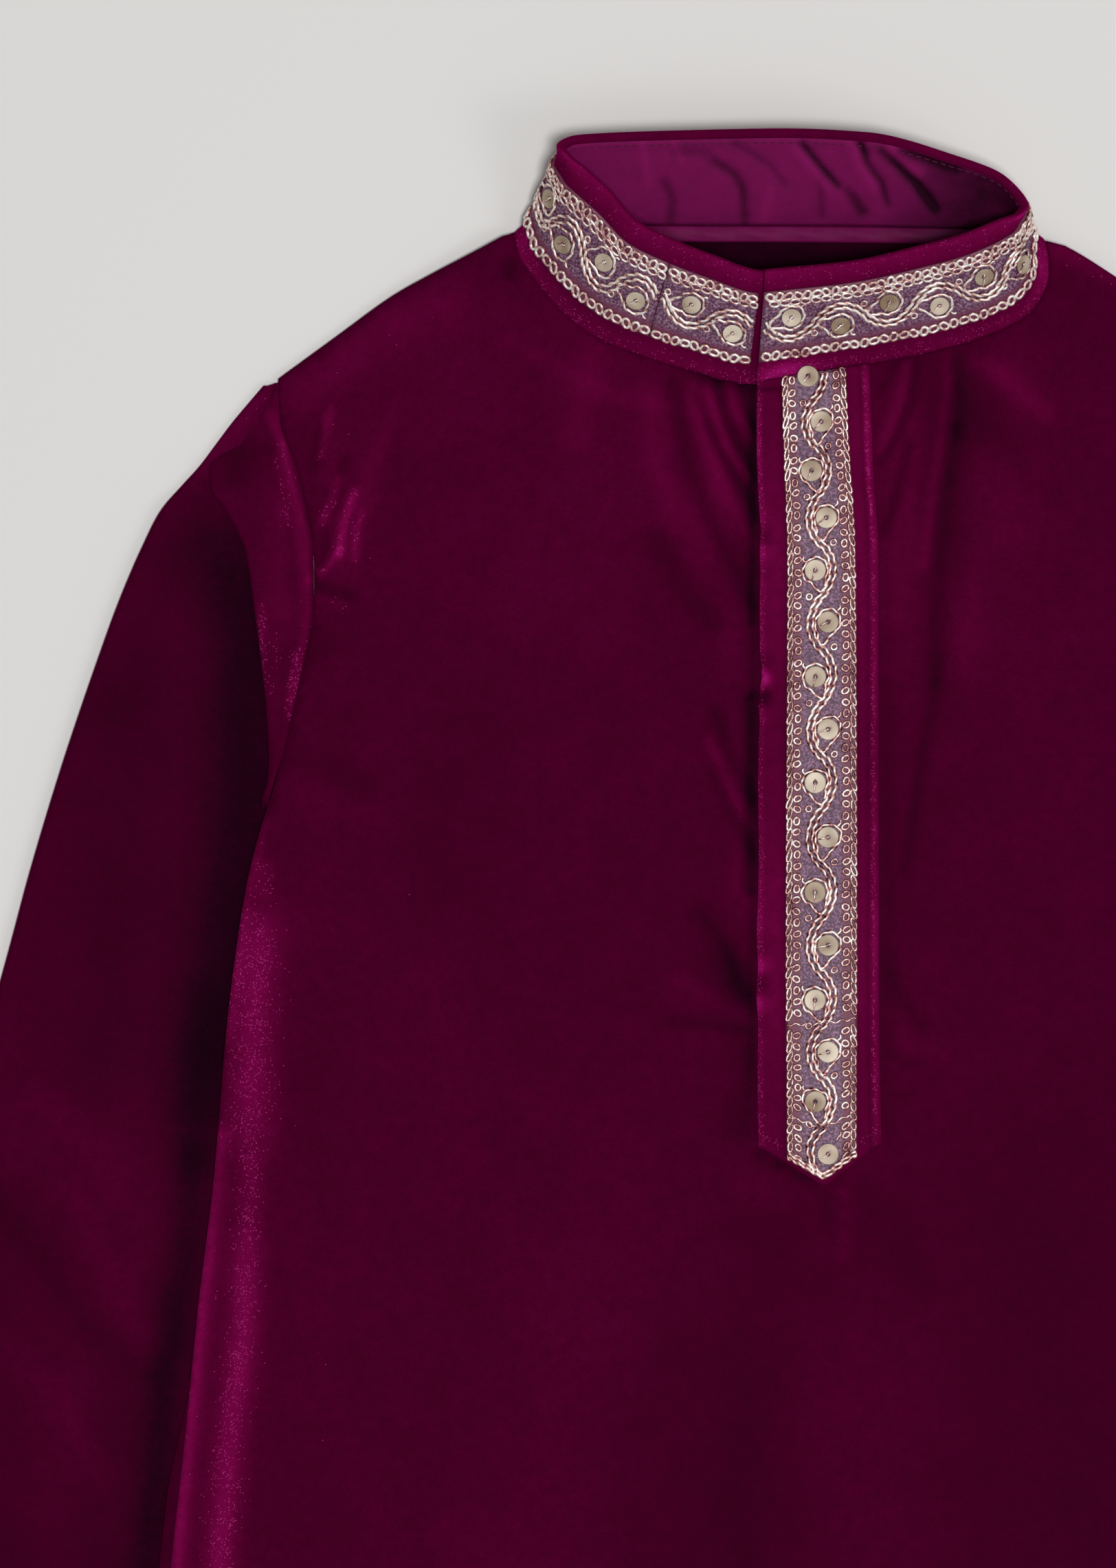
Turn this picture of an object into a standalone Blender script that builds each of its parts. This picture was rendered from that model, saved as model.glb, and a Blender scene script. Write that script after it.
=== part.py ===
"""Boy's velvet kurta, laid flat and face up, with its sleeves brought down beside the body.

Every piece of cloth is worked out from the lay of the garment: plan outlines in millimetres, with X to the
viewer's right, Y towards the collar and Z up from the surface it lies on, and height functions that say how
the layers rest on one another. Each piece is an open surface at the middle of its cloth, given its
thickness by a Solidify modifier.
"""
import math

import bmesh
import bpy
import numpy as np
from mathutils import Vector
from mathutils.geometry import delaunay_2d_cdt

MM = 0.001

# Cloth and how it stacks, in millimetres
CLOTH = 1.0
GAP = 0.35
PITCH = CLOTH + GAP
SEAM = 0.45
NECK_SEAM = 0.9
TRIM_CLOTH = 0.8
LINING_CLOTH = 0.8
OUT_OF_VELVET = CLOTH / 2 + GAP + TRIM_CLOTH / 2

# Middle height of the four layers that lie on one another where the body rides over a sleeve
LEVEL = [CLOTH / 2 + PITCH * layer for layer in range(4)]

# Places down the garment and across it
SHOULDER_END = (152.0, -41.4)
NECK_POINT = (84.4, 74.4)
ARMPIT_Y = -164.0
UNDERARM_LOW_Y = -211.0
SLIT_TOP_Y = -328.0
SLIT_OPENING_RUN = 40.0
HEM_Y = -640.0
BACK_HEM_Y = -643.0
BACK_SLIT_SHOW = 3.4

# The placket: the front's cut, and the flap that covers it
PLACKET_SLIT_Y = -258.0
PLACKET_SLIT_X = 4.0
PLACKET_SLIT_WIDTH = 0.8
FLAP_TOP_Y = -41.3
FLAP_TOP_X = -13.0
FLAP_TOP_SLOPE = 0.155
FLAP_MIDDLE_X = 5.0
FLAP_CORNER_Y = -264.4
FLAP_TIP = 10.0
FLAP_TIP_ACROSS = 0.53
FLAP_DROOP = 0.7
FLAP_DROOP_WIDTH = 0.14
BUTTON_SIDE_X = -8.5
BUTTON_SIDE_TOP_Y = -46.0
BUTTON_SIDE_SHORT = 26.0

# Heights of the lay, and how far from an edge or a seam each one eases off
FRONT_PUFF = 2.0
PUFF_EDGE_EASE = 42.0
PUFF_SHOULDER_EASE = 26.0
PUFF_HEM_EASE = 60.0
SHOULDER_FROM_X = 80.0
SLEEVE_SWELL = 1.6
SWELL_SPAN = (4.0, 19.0)
SWELL_TOP = (-52.0, -82.0)
BACK_NECK_Z = 2.4
BACK_NECK_REACH = 13.0
FRONT_NECK_REACH = 30.0

# The right shoulder has dropped by this share of its distance from the middle, less and less down the body
RIGHT_DROP = 0.10
DROP_SPAN = (-150.0, -40.0)

# Where the body is lifted by a sleeve below it: inwards of the sleeve's hidden edge, and down the garment
LIFT_REACH = (50.0, 12.0)
LIFT_TOP = (-155.5, -163.5)
LIFT_END = (-500.0, -440.0)
HIDDEN_SPREAD = 26.0

# Where the front is lifted by the tuck of a sleeve
TUCK_REACH = (45.0, 5.0)
TUCK_TOP = (-50.0, -76.0)
TUCK_END = (-185.0, -165.0)

# Where the left front lies a layer lower, below the flap: beside the cut and down it
LOWER_FRONT_ACROSS = (-34.0, -14.0)
LOWER_FRONT_DOWN = (PLACKET_SLIT_Y + 2.0, PLACKET_SLIT_Y + 26.0)
FLAT_BESIDE_FLAP = (17.0, 29.0)
FLAT_TO_Y = -290.0

# A fold fades over this share of its run, before its two ends and after them
FOLD_START = (-0.35, 0.15)
FOLD_STOP = (1.35, 0.85)

# How the cloth falls from an armhole seam to the sleeve's level, and rises again below it
CAP_FALL = 8.5
LOWER_RISE = 4.0
LEAST_TUCK = 1.6
CLEAR_OF_FOLD = 3.5
TUCKED_FROM_TURN = 20
ARMPIT_EASE = 0.3
ARMPIT_EASE_SPAN = (-150.0, -158.0)

# Spacing of the panels' points
EDGE_STEPS = (11, 7, 17)
BACK_EDGE_STEPS = (12, 7, 24)
NECK_STEP = 5.5
BACK_NECK_STEP = 8.0
FRONT_SPACINGS = (21, 10)
BACK_SPACINGS = (25, 12)
ROW_RATIO = math.sqrt(3) / 2
CLEAR_OF_EDGE = 0.55
PLAN_TOP = 20
PLAN_BOTTOM = -680
PLAN_HALF = 220
AT_BACK_NECK = (-90, 84, -34, 12)
AT_COLLAR = (-96, 96, -96, 12)
AT_PLACKET = (-38, 32, -270, -96)

# The origin is the middle of the garment's box, on the surface below it
ORIGIN_Y = -305.995


class Table:
    """Rows of named columns; the first column is the key, and a smooth curve joins the rows."""

    def __init__(self, names, *rows):
        self.names = names.split()
        self.rows = np.array(sorted(rows), dtype=float)
        self.keys = self.rows[:, 0]

    def at(self, key, name):
        """Value of a column at a key, by a curve that never overshoots its rows."""
        values = self.rows[:, self.names.index(name)]
        key = min(max(key, self.keys[0]), self.keys[-1])
        step = np.diff(self.keys)
        slope = np.diff(values) / step
        row = min(int(np.searchsorted(self.keys, key, side="right")) - 1, len(step) - 1)
        before = slope[max(row - 1, 0)]
        after = slope[min(row + 1, len(slope) - 1)]
        start = blend_slopes(before, slope[row])
        end = blend_slopes(slope[row], after)
        t = (key - self.keys[row]) / step[row]
        rise = values[row + 1] - values[row]
        ends = (start * t * (1 - t) ** 2 - end * t ** 2 * (1 - t)) * step[row]
        return values[row] + rise * t * t * (3 - 2 * t) + ends


def blend_slopes(a, b):
    """Slope at a row between two stretches: their harmonic mean, or none at a turning point."""
    if a * b <= 0:
        return 0.0
    return 2 * a * b / (a + b)


def smooth(value):
    """Soft step from 0 at 0 to 1 at 1."""
    value = min(max(value, 0.0), 1.0)
    return value * value * (3 - 2 * value)


def ramp(value, start, end):
    """Soft step from 0 at the start to 1 at the end, whichever of the two is larger."""
    return smooth((value - start) / (end - start))


# Outlines of the left half as it lies, mirrored for the right half: x is the distance from the middle
SHOULDER = Table(
    "x y", (68, 8.6), (80.6, 3.2), (93.4, -3.6), (107.6, -11), (118, -16.8), (135, -29), SHOULDER_END)
ARMHOLE = Table(
    "y x", SHOULDER_END[::-1], (-51, 151.8), (-69, 146.2), (-88, 142.2), (-98, 141.4), (-108, 141.8),
    (-117, 143.2), (-131, 146.2), (-148, 150), (ARMPIT_Y, 154.4))
SIDE = Table(
    "y x", (ARMPIT_Y, 154.4), (-174, 157.6), (-191, 161.6), (-227, 166.6), (-275, 170.8), (-311, 175.2),
    (-347, 178.8), (-383, 182.8), (-450, 189.6), (HEM_Y, 210.5), (BACK_HEM_Y, 211))
SLEEVE_OUT = Table(
    "y x", (-43.4, 155.7), (-54.4, 165), (-67.4, 174.8), (-80, 185.8), (-91, 191.4), (-107, 198.2),
    (-123, 204), (-155, 214.8), (-187, 224.4), (-211, 230.8), (-300, 256), (-380, 278.6), (-447, 296))

# The sleeve's hidden underarm edge, below the body
UNDERARM = Table(
    "y x", (ARMPIT_Y, 154.85), (-167, 158.4), (-170, 159.2), (-174, 157), (-180, 150), (-190, 139),
    (UNDERARM_LOW_Y, 129), (-250, 138), (-300, 152), (-380, 176), (-447, 198), (-474.4, 205.6))

# Edge of the cap of the sleeve where it is tucked over itself
TUCK_EDGE = Table(
    "y x", (-44, 155.4), (-54, 162), (-62, 168.4), (-67.4, 171.4), (-72, 171.2), (-77, 169), (-82.6, 164.4),
    (-90, 161.4), (-101, 159.6), (-122, 156.6), (-146, 154.6), (-158, 155.2))

# One row for each section across a sleeve. inner_y and outer_y are its two ends down the garment, turn is
# how far the tuck folds under, in degrees, and depth how far it runs back in. Where nothing is tucked,
# depth is the stretch beside the seam that the tuck's cloth takes up.
SLEEVE_SECTIONS = Table(
    "row inner_y outer_y turn depth",
    (0, -42.4, -43.6, 0, 40), (1, -47, -48, 0, 40), (2, -54, -54.4, 0, 40), (3, -60.5, -60.5, 0, 40),
    (4, -67, -67, 110, 0.9), (5, -73, -73, 170, 4), (6, -80, -80, 180, 8), (7, -91, -91, 180, 13),
    (8, -107, -107, 180, 15), (9, -123, -123, 180, 12), (10, -138, -138, 180, 7), (11, -148, -148, 180, 3),
    (12, -153, -153, 120, 0.75), (13, -158.5, -158.5, 0, 8), (14, ARMPIT_Y, ARMPIT_Y, 0, 8.5),
    (15, -167, -167, 0, 8.5), (16, -170, -170, 0, 9), (17, -174, -174, 0, 10), (18, -180, -180, 0, 12),
    (19, -190, -188, 0, 13),
    (20, -211, -206, 0, 13), (21, -240, -231, 0, 13), (22, -272, -259, 0, 13), (23, -308, -291, 0, 13),
    (24, -346, -327, 0, 13), (25, -388, -367, 0, 13), (26, -431, -407, 0, 13), (27, -474.4, -447, 0, 13))
ARMPIT_ROW = 14
LAST_ROW = 27
ROWS_TO_SETTLE = (2.6, 2.2)

# Steps along a section: the cap's run, each turn, the upper layer and the lower layer
SLEEVE_SEGMENTS = (3, 3, 4, 4)

# Height of the collar seam all along the front neck
NECK_HEIGHT = Table(
    "x z", (-83, 4.6), (-76, 6.2), (-59, 8.2), (-34, 9.3), (-13, 9.9), (4, 10.2), (35, 10.2), (53, 9.2),
    (66, 7.2), (71.5, 5.0))

# Stations round the collar, from its hidden left end round the back to its lapped right end: the top edge,
# the seam, the height of the top edge, and how far the seam is held above the panel
COLLAR = Table(
    "station top_x top_y top_z seam_x seam_y lift",
    (0, 12, -9.8, 24.6, 8, -37.9, -2.0), (1, -10, -11.4, 25.2, -13.4, -42.2, 0),
    (2, -25.8, -6.8, 26.2, -34, -37.6, 0), (3, -37, -2.4, 26.6, -45.8, -34, 0),
    (4, -48.6, 3.6, 26.8, -59, -28.7, 0), (5, -56, 12, 27, -69, -21.3, 0),
    (6, -62.5, 17.8, 27.4, -76, -13, 0), (7, -68.8, 22.6, 27.4, -81.3, -5, 0),
    (8, -71.4, 25.8, 24.8, -82.6, 0.5, 0), (9, -66.5, 28.6, 22.2, -77, 4.2, 0),
    (10, -57, 29.4, 22.2, -62, 3.8, 0), (11, -33, 30.2, 23, -35, 3.5, 0),
    (12, -5, 30.7, 23.5, -6, 3.4, 0), (13, 19, 29.6, 23.5, 20, 3.2, 0),
    (14, 43, 23.4, 23, 44, 2.8, 0), (15, 59, 17.6, 22.5, 61, 2.4, 0),
    (16, 67.2, 9.5, 24.5, 70.4, -1.5, 0), (17, 64.6, 5.8, 26.2, 71.6, -10.5, 0),
    (18, 57.8, 3.4, 27, 66.5, -21, 0), (19, 45.6, -1.2, 27.3, 53, -28.3, 0),
    (20, 33.4, -4.4, 27.6, 37.5, -32.8, 0), (21, 15, -8.6, 28.2, 15.5, -36.8, 0.5),
    (22, -9.8, -11.2, 28.6, -13, -41.6, 1.3))
LAST_STATION = 22

# Stations where the collar stands on the back panel, those of its lining, of the panels' neck edges and of
# the neck band, and how far the front's neck edge rises beside its cut
BACK_STATIONS = (8.6, 15.2)
LINED_STATIONS = (0.2, 20.8)
LEFT_NECK = (8.1, 1)
RIGHT_NECK = (21.45, 16)
BACK_NECK = (BACK_STATIONS[0] + 0.1, BACK_STATIONS[1] - 0.1)
SLIT_TOP_RISE = 1.6
CLEAR_OF_SLIT = 4.0
BAND_STATIONS = (8.75, 15.35)
BAND_ACROSS = (0.9, 2.9, 4.9)

# The border round the collar is in two lengths, between these stations and shares of the collar's height
SHORT_BORDER = (1.1, 2.72)
LONG_BORDER = (2.8, LAST_STATION - 0.06)
BORDER_HEIGHTS = (0.17, 0.5, 0.83)
LINING_HEIGHTS = (0.1, 0.53, 0.96)
COLLAR_HEIGHTS = (0, 0.33, 0.67, 1)

# The flap's two edges, and the shares of its width where it and its border have their points
FLAP = Table("y left right", (-275, -11.9, 23.2), (-160, -12.5, 22.4), (-36, -12.8, 21))
FLAP_ACROSS = (0, 0.07, FLAP_DROOP_WIDTH, 0.34, FLAP_TIP_ACROSS, 0.77, 1)
FLAP_BORDER_ACROSS = (0.205, 0.37, FLAP_TIP_ACROSS, 0.66, 0.78)
FLAP_BORDER_END = 0.995

# Long soft folds of the front: a run between two points, its half width and its height
FRONT_FOLDS = (
    ((-26, -46), (-30, -92), 6, 1.0), ((-14, -56), (-20, -104), 5, -0.9), ((-19, -150), (-15, -195), 6, 1.0),
    ((-20, -212), (-16, -240), 5, -0.8), ((44, -36), (46, -96), 9, -1.3), ((62, -34), (58, -90), 8, 0.9),
    ((30, -44), (27, -110), 7, 0.8), ((-136, -54), (-139, -70), 4, 0.7), ((-130, -76), (-137, -104), 5, 0.8),
    ((-60, -300), (-90, -420), 26, 0.9), ((70, -260), (90, -420), 24, -0.9),
    ((20, -330), (10, -470), 22, 0.8))


def settle(x, y):
    """Move a point of the even lay to where it lies: the right shoulder has dropped a little."""
    if x <= 0:
        return y
    return y - RIGHT_DROP * x * ramp(y, *DROP_SPAN)


def unsettle(x, y):
    """Y in the even lay of a point of the garment as it lies."""
    even = y
    for _ in range(4):
        even = y + (even - settle(x, even))
    return even


def half_width(y):
    """Distance from the middle to the edge of a body panel."""
    if y > ARMPIT_Y:
        return ARMHOLE.at(y, "x")
    return SIDE.at(y, "x")


def over_sleeve(x, y):
    """How far the body is lifted by the sleeve below it, from 0 to 1."""
    inner = UNDERARM.at(min(y, UNDERARM_LOW_Y), "x")
    inner += HIDDEN_SPREAD * ramp(y, UNDERARM_LOW_Y, ARMPIT_Y)
    across = ramp(abs(x), inner - LIFT_REACH[0], inner - LIFT_REACH[1])
    return across * ramp(y, *LIFT_TOP) * ramp(y, *LIFT_END)


def over_tuck(x, y):
    """How far the front is lifted by the tuck of the sleeve at its armhole, from 0 to 1."""
    edge = half_width(y)
    across = ramp(abs(x), edge - TUCK_REACH[0], edge - TUCK_REACH[1])
    return across * ramp(y, *TUCK_TOP) * ramp(y, *TUCK_END)


def near_line(x, y, start, end):
    """Distance from a run between two points, and where along it, from 0 to 1."""
    ax, ay = start
    dx, dy = end[0] - ax, end[1] - ay
    along = ((x - ax) * dx + (y - ay) * dy) / (dx * dx + dy * dy)
    t = min(max(along, 0.0), 1.0)
    return math.hypot(x - ax - dx * t, y - ay - dy * t), along


def folds(x, y, table):
    """Height that a table of long folds adds at a point."""
    height = 0.0
    for start, end, half, rise in table:
        away, along = near_line(x, y, start, end)
        fade = ramp(along, *FOLD_START) * ramp(along, *FOLD_STOP)
        height += rise * fade * math.exp(-(away / half) ** 2)
    return height


def seam_line(first, last, count):
    """Points of the collar seam between two stations."""
    stations = [first + (last - first) * i / count for i in range(count + 1)]
    return [(COLLAR.at(k, "seam_x"), COLLAR.at(k, "seam_y")) for k in stations]


FRONT_SEAM = seam_line(1, 8, 28) + seam_line(16, 22, 24)
BACK_SEAM = seam_line(8, 16, 24)


def away_from(line, x, y):
    """Distance from a point to the nearest of a line's points."""
    return min(math.hypot(x - px, y - py) for px, py in line)


def back_height(x, y):
    """Middle height of the back panel."""
    even = unsettle(x, y)
    height = LEVEL[0] + (LEVEL[2] - LEVEL[0]) * over_sleeve(x, even)
    near = math.exp(-(away_from(BACK_SEAM, x, y) / BACK_NECK_REACH) ** 2)
    return height + (BACK_NECK_Z - height) * near


def front_height(x, y):
    """Middle height of the front panel and of what lies beside it at its own level."""
    even = unsettle(x, y)
    inside = ramp(half_width(even) - abs(x), 0, PUFF_EDGE_EASE)
    below = 1.0
    if abs(x) > SHOULDER_FROM_X:
        below = ramp(SHOULDER.at(abs(x), "y") - even, 0, PUFF_SHOULDER_EASE)
    puff = FRONT_PUFF * inside * below * ramp(even - HEM_Y, 0, PUFF_HEM_EASE)
    lift = max(over_sleeve(x, even), over_tuck(x, even))
    height = LEVEL[1] + (LEVEL[3] - LEVEL[1]) * lift + puff
    beside_flap = ramp(abs(x - FLAP_MIDDLE_X), *FLAT_BESIDE_FLAP) if even > FLAT_TO_Y else 1.0
    height += folds(x, y, FRONT_FOLDS) * inside * beside_flap
    near = math.exp(-(away_from(FRONT_SEAM, x, y) / FRONT_NECK_REACH) ** 2)
    return height + (NECK_HEIGHT.at(x, "z") - height) * near


def below_flap(y):
    """How far the left front lies a layer lower, from 0 below the placket's slit to 1 along it."""
    return ramp(y, *LOWER_FRONT_DOWN)


def panel_height(x, y):
    """Front panel: its left part lies one layer lower below the placket."""
    if x >= PLACKET_SLIT_X:
        return front_height(x, y)
    return front_height(x, y) - PITCH * ramp(x, *LOWER_FRONT_ACROSS) * below_flap(y)


def place(x, y, z):
    """A point of the lay, in millimetres, as a point of the model."""
    return Vector((x * MM, (y - ORIGIN_Y) * MM, z * MM))


def resample(points, step, keep_ends=True):
    """Even steps along a line of points."""
    line = [Vector((p[0], p[1])) for p in points]
    lengths = [0.0]
    for a, b in zip(line, line[1:]):
        lengths.append(lengths[-1] + (b - a).length)
    count = max(1, round(lengths[-1] / step))
    xs = np.interp(np.linspace(0, lengths[-1], count + 1), lengths, [p.x for p in line])
    ys = np.interp(np.linspace(0, lengths[-1], count + 1), lengths, [p.y for p in line])
    return list(zip(xs, ys)) if keep_ends else list(zip(xs, ys))[:-1]


def table_line(table, key_range, key_is_x, steps=40):
    """Points (x, y) of an outline table between two keys."""
    keys = np.linspace(key_range[0], key_range[1], steps)
    if key_is_x:
        return [(k, table.at(k, "y")) for k in keys]
    return [(table.at(k, "x"), k) for k in keys]


def body_side(neck_x, hem_y, slit_show, steps):
    """One half's outline from neck point to hem: shoulder, armhole and side, as even steps."""
    shoulder = table_line(SHOULDER, (neck_x, SHOULDER_END[0]), True)
    armhole = [(x - SEAM / 2, y) for x, y in table_line(ARMHOLE, (SHOULDER_END[1], ARMPIT_Y), False)]
    side = []
    for y in np.linspace(ARMPIT_Y, hem_y, 60):
        spread = slit_show * ramp(SLIT_TOP_Y - y, 0, SLIT_OPENING_RUN)
        side.append((SIDE.at(y, "x") + spread, y))
    joined = resample(shoulder, steps[0], False)
    joined += resample(armhole, steps[1], False)
    return joined + resample(side, steps[2])


def offset_line(points, distance):
    """A line moved sideways, to the left of its run."""
    moved = []
    for i, (x, y) in enumerate(points):
        before = points[max(i - 1, 0)]
        after = points[min(i + 1, len(points) - 1)]
        dx, dy = after[0] - before[0], after[1] - before[1]
        length = math.hypot(dx, dy)
        moved.append((x - dy / length * distance, y + dx / length * distance))
    return moved


def inside_outline(x, y, outline):
    """Whether a point is inside a closed outline."""
    inside = False
    for (x0, y0), (x1, y1) in zip(outline, outline[1:] + outline[:1]):
        if (y0 > y) != (y1 > y) and x < (x1 - x0) * (y - y0) / (y1 - y0) + x0:
            inside = not inside
    return inside


def inner_points(outline, spacings, fine_boxes):
    """Rows of points inside an outline, every other row moved half a step, closer in the fine boxes."""
    points = []
    edges = list(zip(outline, outline[1:] + outline[:1]))
    for step, want_fine in zip(spacings, (False, True)):
        for row in range(int((PLAN_TOP - PLAN_BOTTOM) / (step * ROW_RATIO)) + 1):
            y = PLAN_TOP - row * step * ROW_RATIO
            for column in range(int(2 * PLAN_HALF / step) + 1):
                x = (column + 0.5 * (row % 2)) * step - PLAN_HALF
                in_box = any(box[0] < x < box[1] and box[2] < y < box[3] for box in fine_boxes)
                if in_box != want_fine or not inside_outline(x, y, outline):
                    continue
                if min(near_line(x, y, a, b)[0] for a, b in edges) > CLEAR_OF_EDGE * step:
                    points.append((x, y))
    return points


def sheet_object(name, mesh_data, material, thickness=CLOTH):
    """An open surface as an object, given its cloth's thickness about the middle."""
    vertices, faces = mesh_data
    mesh = bpy.data.meshes.new(name)
    mesh.from_pydata([tuple(v) for v in vertices], [], faces)
    mesh.update()
    shape = bmesh.new()
    shape.from_mesh(mesh)
    bmesh.ops.recalc_face_normals(shape, faces=shape.faces)
    shape.to_mesh(mesh)
    shape.free()
    mesh.materials.append(material)
    mesh.shade_smooth()
    obj = bpy.data.objects.new(name, mesh)
    GARMENT.objects.link(obj)
    obj.parent = ROOT
    solid = obj.modifiers.new("Cloth thickness", "SOLIDIFY")
    solid.thickness = thickness * MM
    solid.offset = 0.0
    solid.use_even_offset = False
    return obj


def cut_panel(name, outline, spacings, fine_boxes, height, material):
    """A body panel: its outline filled with small triangles and lifted to the height of the lay."""
    inner = inner_points(outline, spacings, fine_boxes)
    plan = [Vector(p) for p in outline + inner]
    border = [(i, (i + 1) % len(outline)) for i in range(len(outline))]
    points, _, faces, _, _, _ = delaunay_2d_cdt(plan, border, [], 1, 1e-5)
    vertices = [place(p.x, p.y, height(p.x, p.y)) for p in points]
    return sheet_object(name, (vertices, [tuple(f) for f in faces]), material)


def grid_faces(rows, columns):
    """Faces of a grid of points that is stored row by row."""
    faces = []
    for row in range(rows - 1):
        for column in range(columns - 1):
            first = row * columns + column
            faces.append((first, first + 1, first + columns + 1, first + columns))
    return faces


def front_outline():
    """Outline of the front panel, with the cut for the placket open at the neck."""
    left = [(-x, y) for x, y in body_side(NECK_POINT[0], HEM_Y, 0.0, EDGE_STEPS)]
    right = [(x, settle(x, y)) for x, y in body_side(NECK_POINT[1], HEM_Y, 0.0, EDGE_STEPS)]
    hem = [(x, HEM_Y) for x in np.linspace(left[-1][0], right[-1][0], 22)[1:-1]]
    half = PLACKET_SLIT_WIDTH / 2
    neck_left = offset_line(resample(seam_line(*LEFT_NECK, 60), NECK_STEP), -NECK_SEAM)
    neck_right = offset_line(resample(seam_line(*RIGHT_NECK, 60), NECK_STEP), -NECK_SEAM)
    slit_top = neck_left[-1][1] + SLIT_TOP_RISE
    slit = [(PLACKET_SLIT_X - half, y) for y in np.linspace(slit_top, PLACKET_SLIT_Y, 24)]
    slit += [(PLACKET_SLIT_X + half, y) for y in np.linspace(PLACKET_SLIT_Y, slit_top, 24)]
    neck_right = [p for p in neck_right if p[0] > PLACKET_SLIT_X + CLEAR_OF_SLIT]
    under_flap = [(PLACKET_SLIT_X - 9, neck_left[-1][1] + 0.6)]
    return left[1:] + hem + right[:0:-1] + neck_right[::-1] + slit[::-1] + under_flap + neck_left[::-1]


def back_outline():
    """Outline of the back panel, whose lower edges show past the front's at the slits and the hem."""
    left, right = [body_side(x, BACK_HEM_Y, BACK_SLIT_SHOW, BACK_EDGE_STEPS) for x in NECK_POINT]
    left = [(-x, y) for x, y in left]
    right = [(x, settle(x, y)) for x, y in right]
    hem = [(x, BACK_HEM_Y) for x in np.linspace(left[-1][0], right[-1][0], 18)[1:-1]]
    neck = offset_line(resample(seam_line(*BACK_NECK, 40), BACK_NECK_STEP), -NECK_SEAM)
    return left[1:] + hem + right[:0:-1] + neck[::-1]


def arc(centre, radius, start, end, count):
    """Points (x, z) of an arc between two angles in degrees."""
    angles = [math.radians(start + (end - start) * i / count) for i in range(count + 1)]
    return [(centre[0] + radius * math.cos(a), centre[1] + radius * math.sin(a)) for a in angles]


def straight(start, end, count):
    """Points between two points, without the first."""
    return [(start[0] + (end[0] - start[0]) * i / count, start[1] + (end[1] - start[1]) * i / count)
            for i in range(1, count + 1)]


def tucked_front(width, seam_z, tuck_x, level, turn, depth, counts):
    """The cap's run to the edge of its tuck, under it and back, as (distance from outer edge, height)."""
    cap_count, arc_count = counts
    radius = PITCH / 2
    angle = math.radians(turn)
    top_z = level + 2 * radius * (1 - math.cos(angle)) + depth * math.sin(angle)
    cap_end = (min(tuck_x + radius, width - 0.8), top_z)
    path = [(width, seam_z)] + straight((width, seam_z), cap_end, cap_count)
    path += arc((cap_end[0], top_z - radius), radius, 90, 90 + turn, arc_count)[1:]
    back = (path[-1][0] - depth * math.cos(angle), path[-1][1] - depth * math.sin(angle))
    centre = (back[0] - radius * math.sin(angle), back[1] + radius * math.cos(angle))
    return path + arc(centre, radius, turn - 90, -90, arc_count)


def plain_front(width, seam_z, level, run, counts):
    """The same stretch where the sleeve isn't tucked: it falls softly from the seam to its level."""
    cap_count, arc_count = counts
    cap_run = max(run - 5, 0.35 * run)
    rest = 2 * arc_count + 1
    away = [cap_run * i / cap_count for i in range(cap_count)]
    away += [cap_run + (run - cap_run) * i / rest for i in range(rest + 1)]
    return [(width - d, seam_z + (level - seam_z) * smooth(d / min(run, CAP_FALL))) for d in away]


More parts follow.
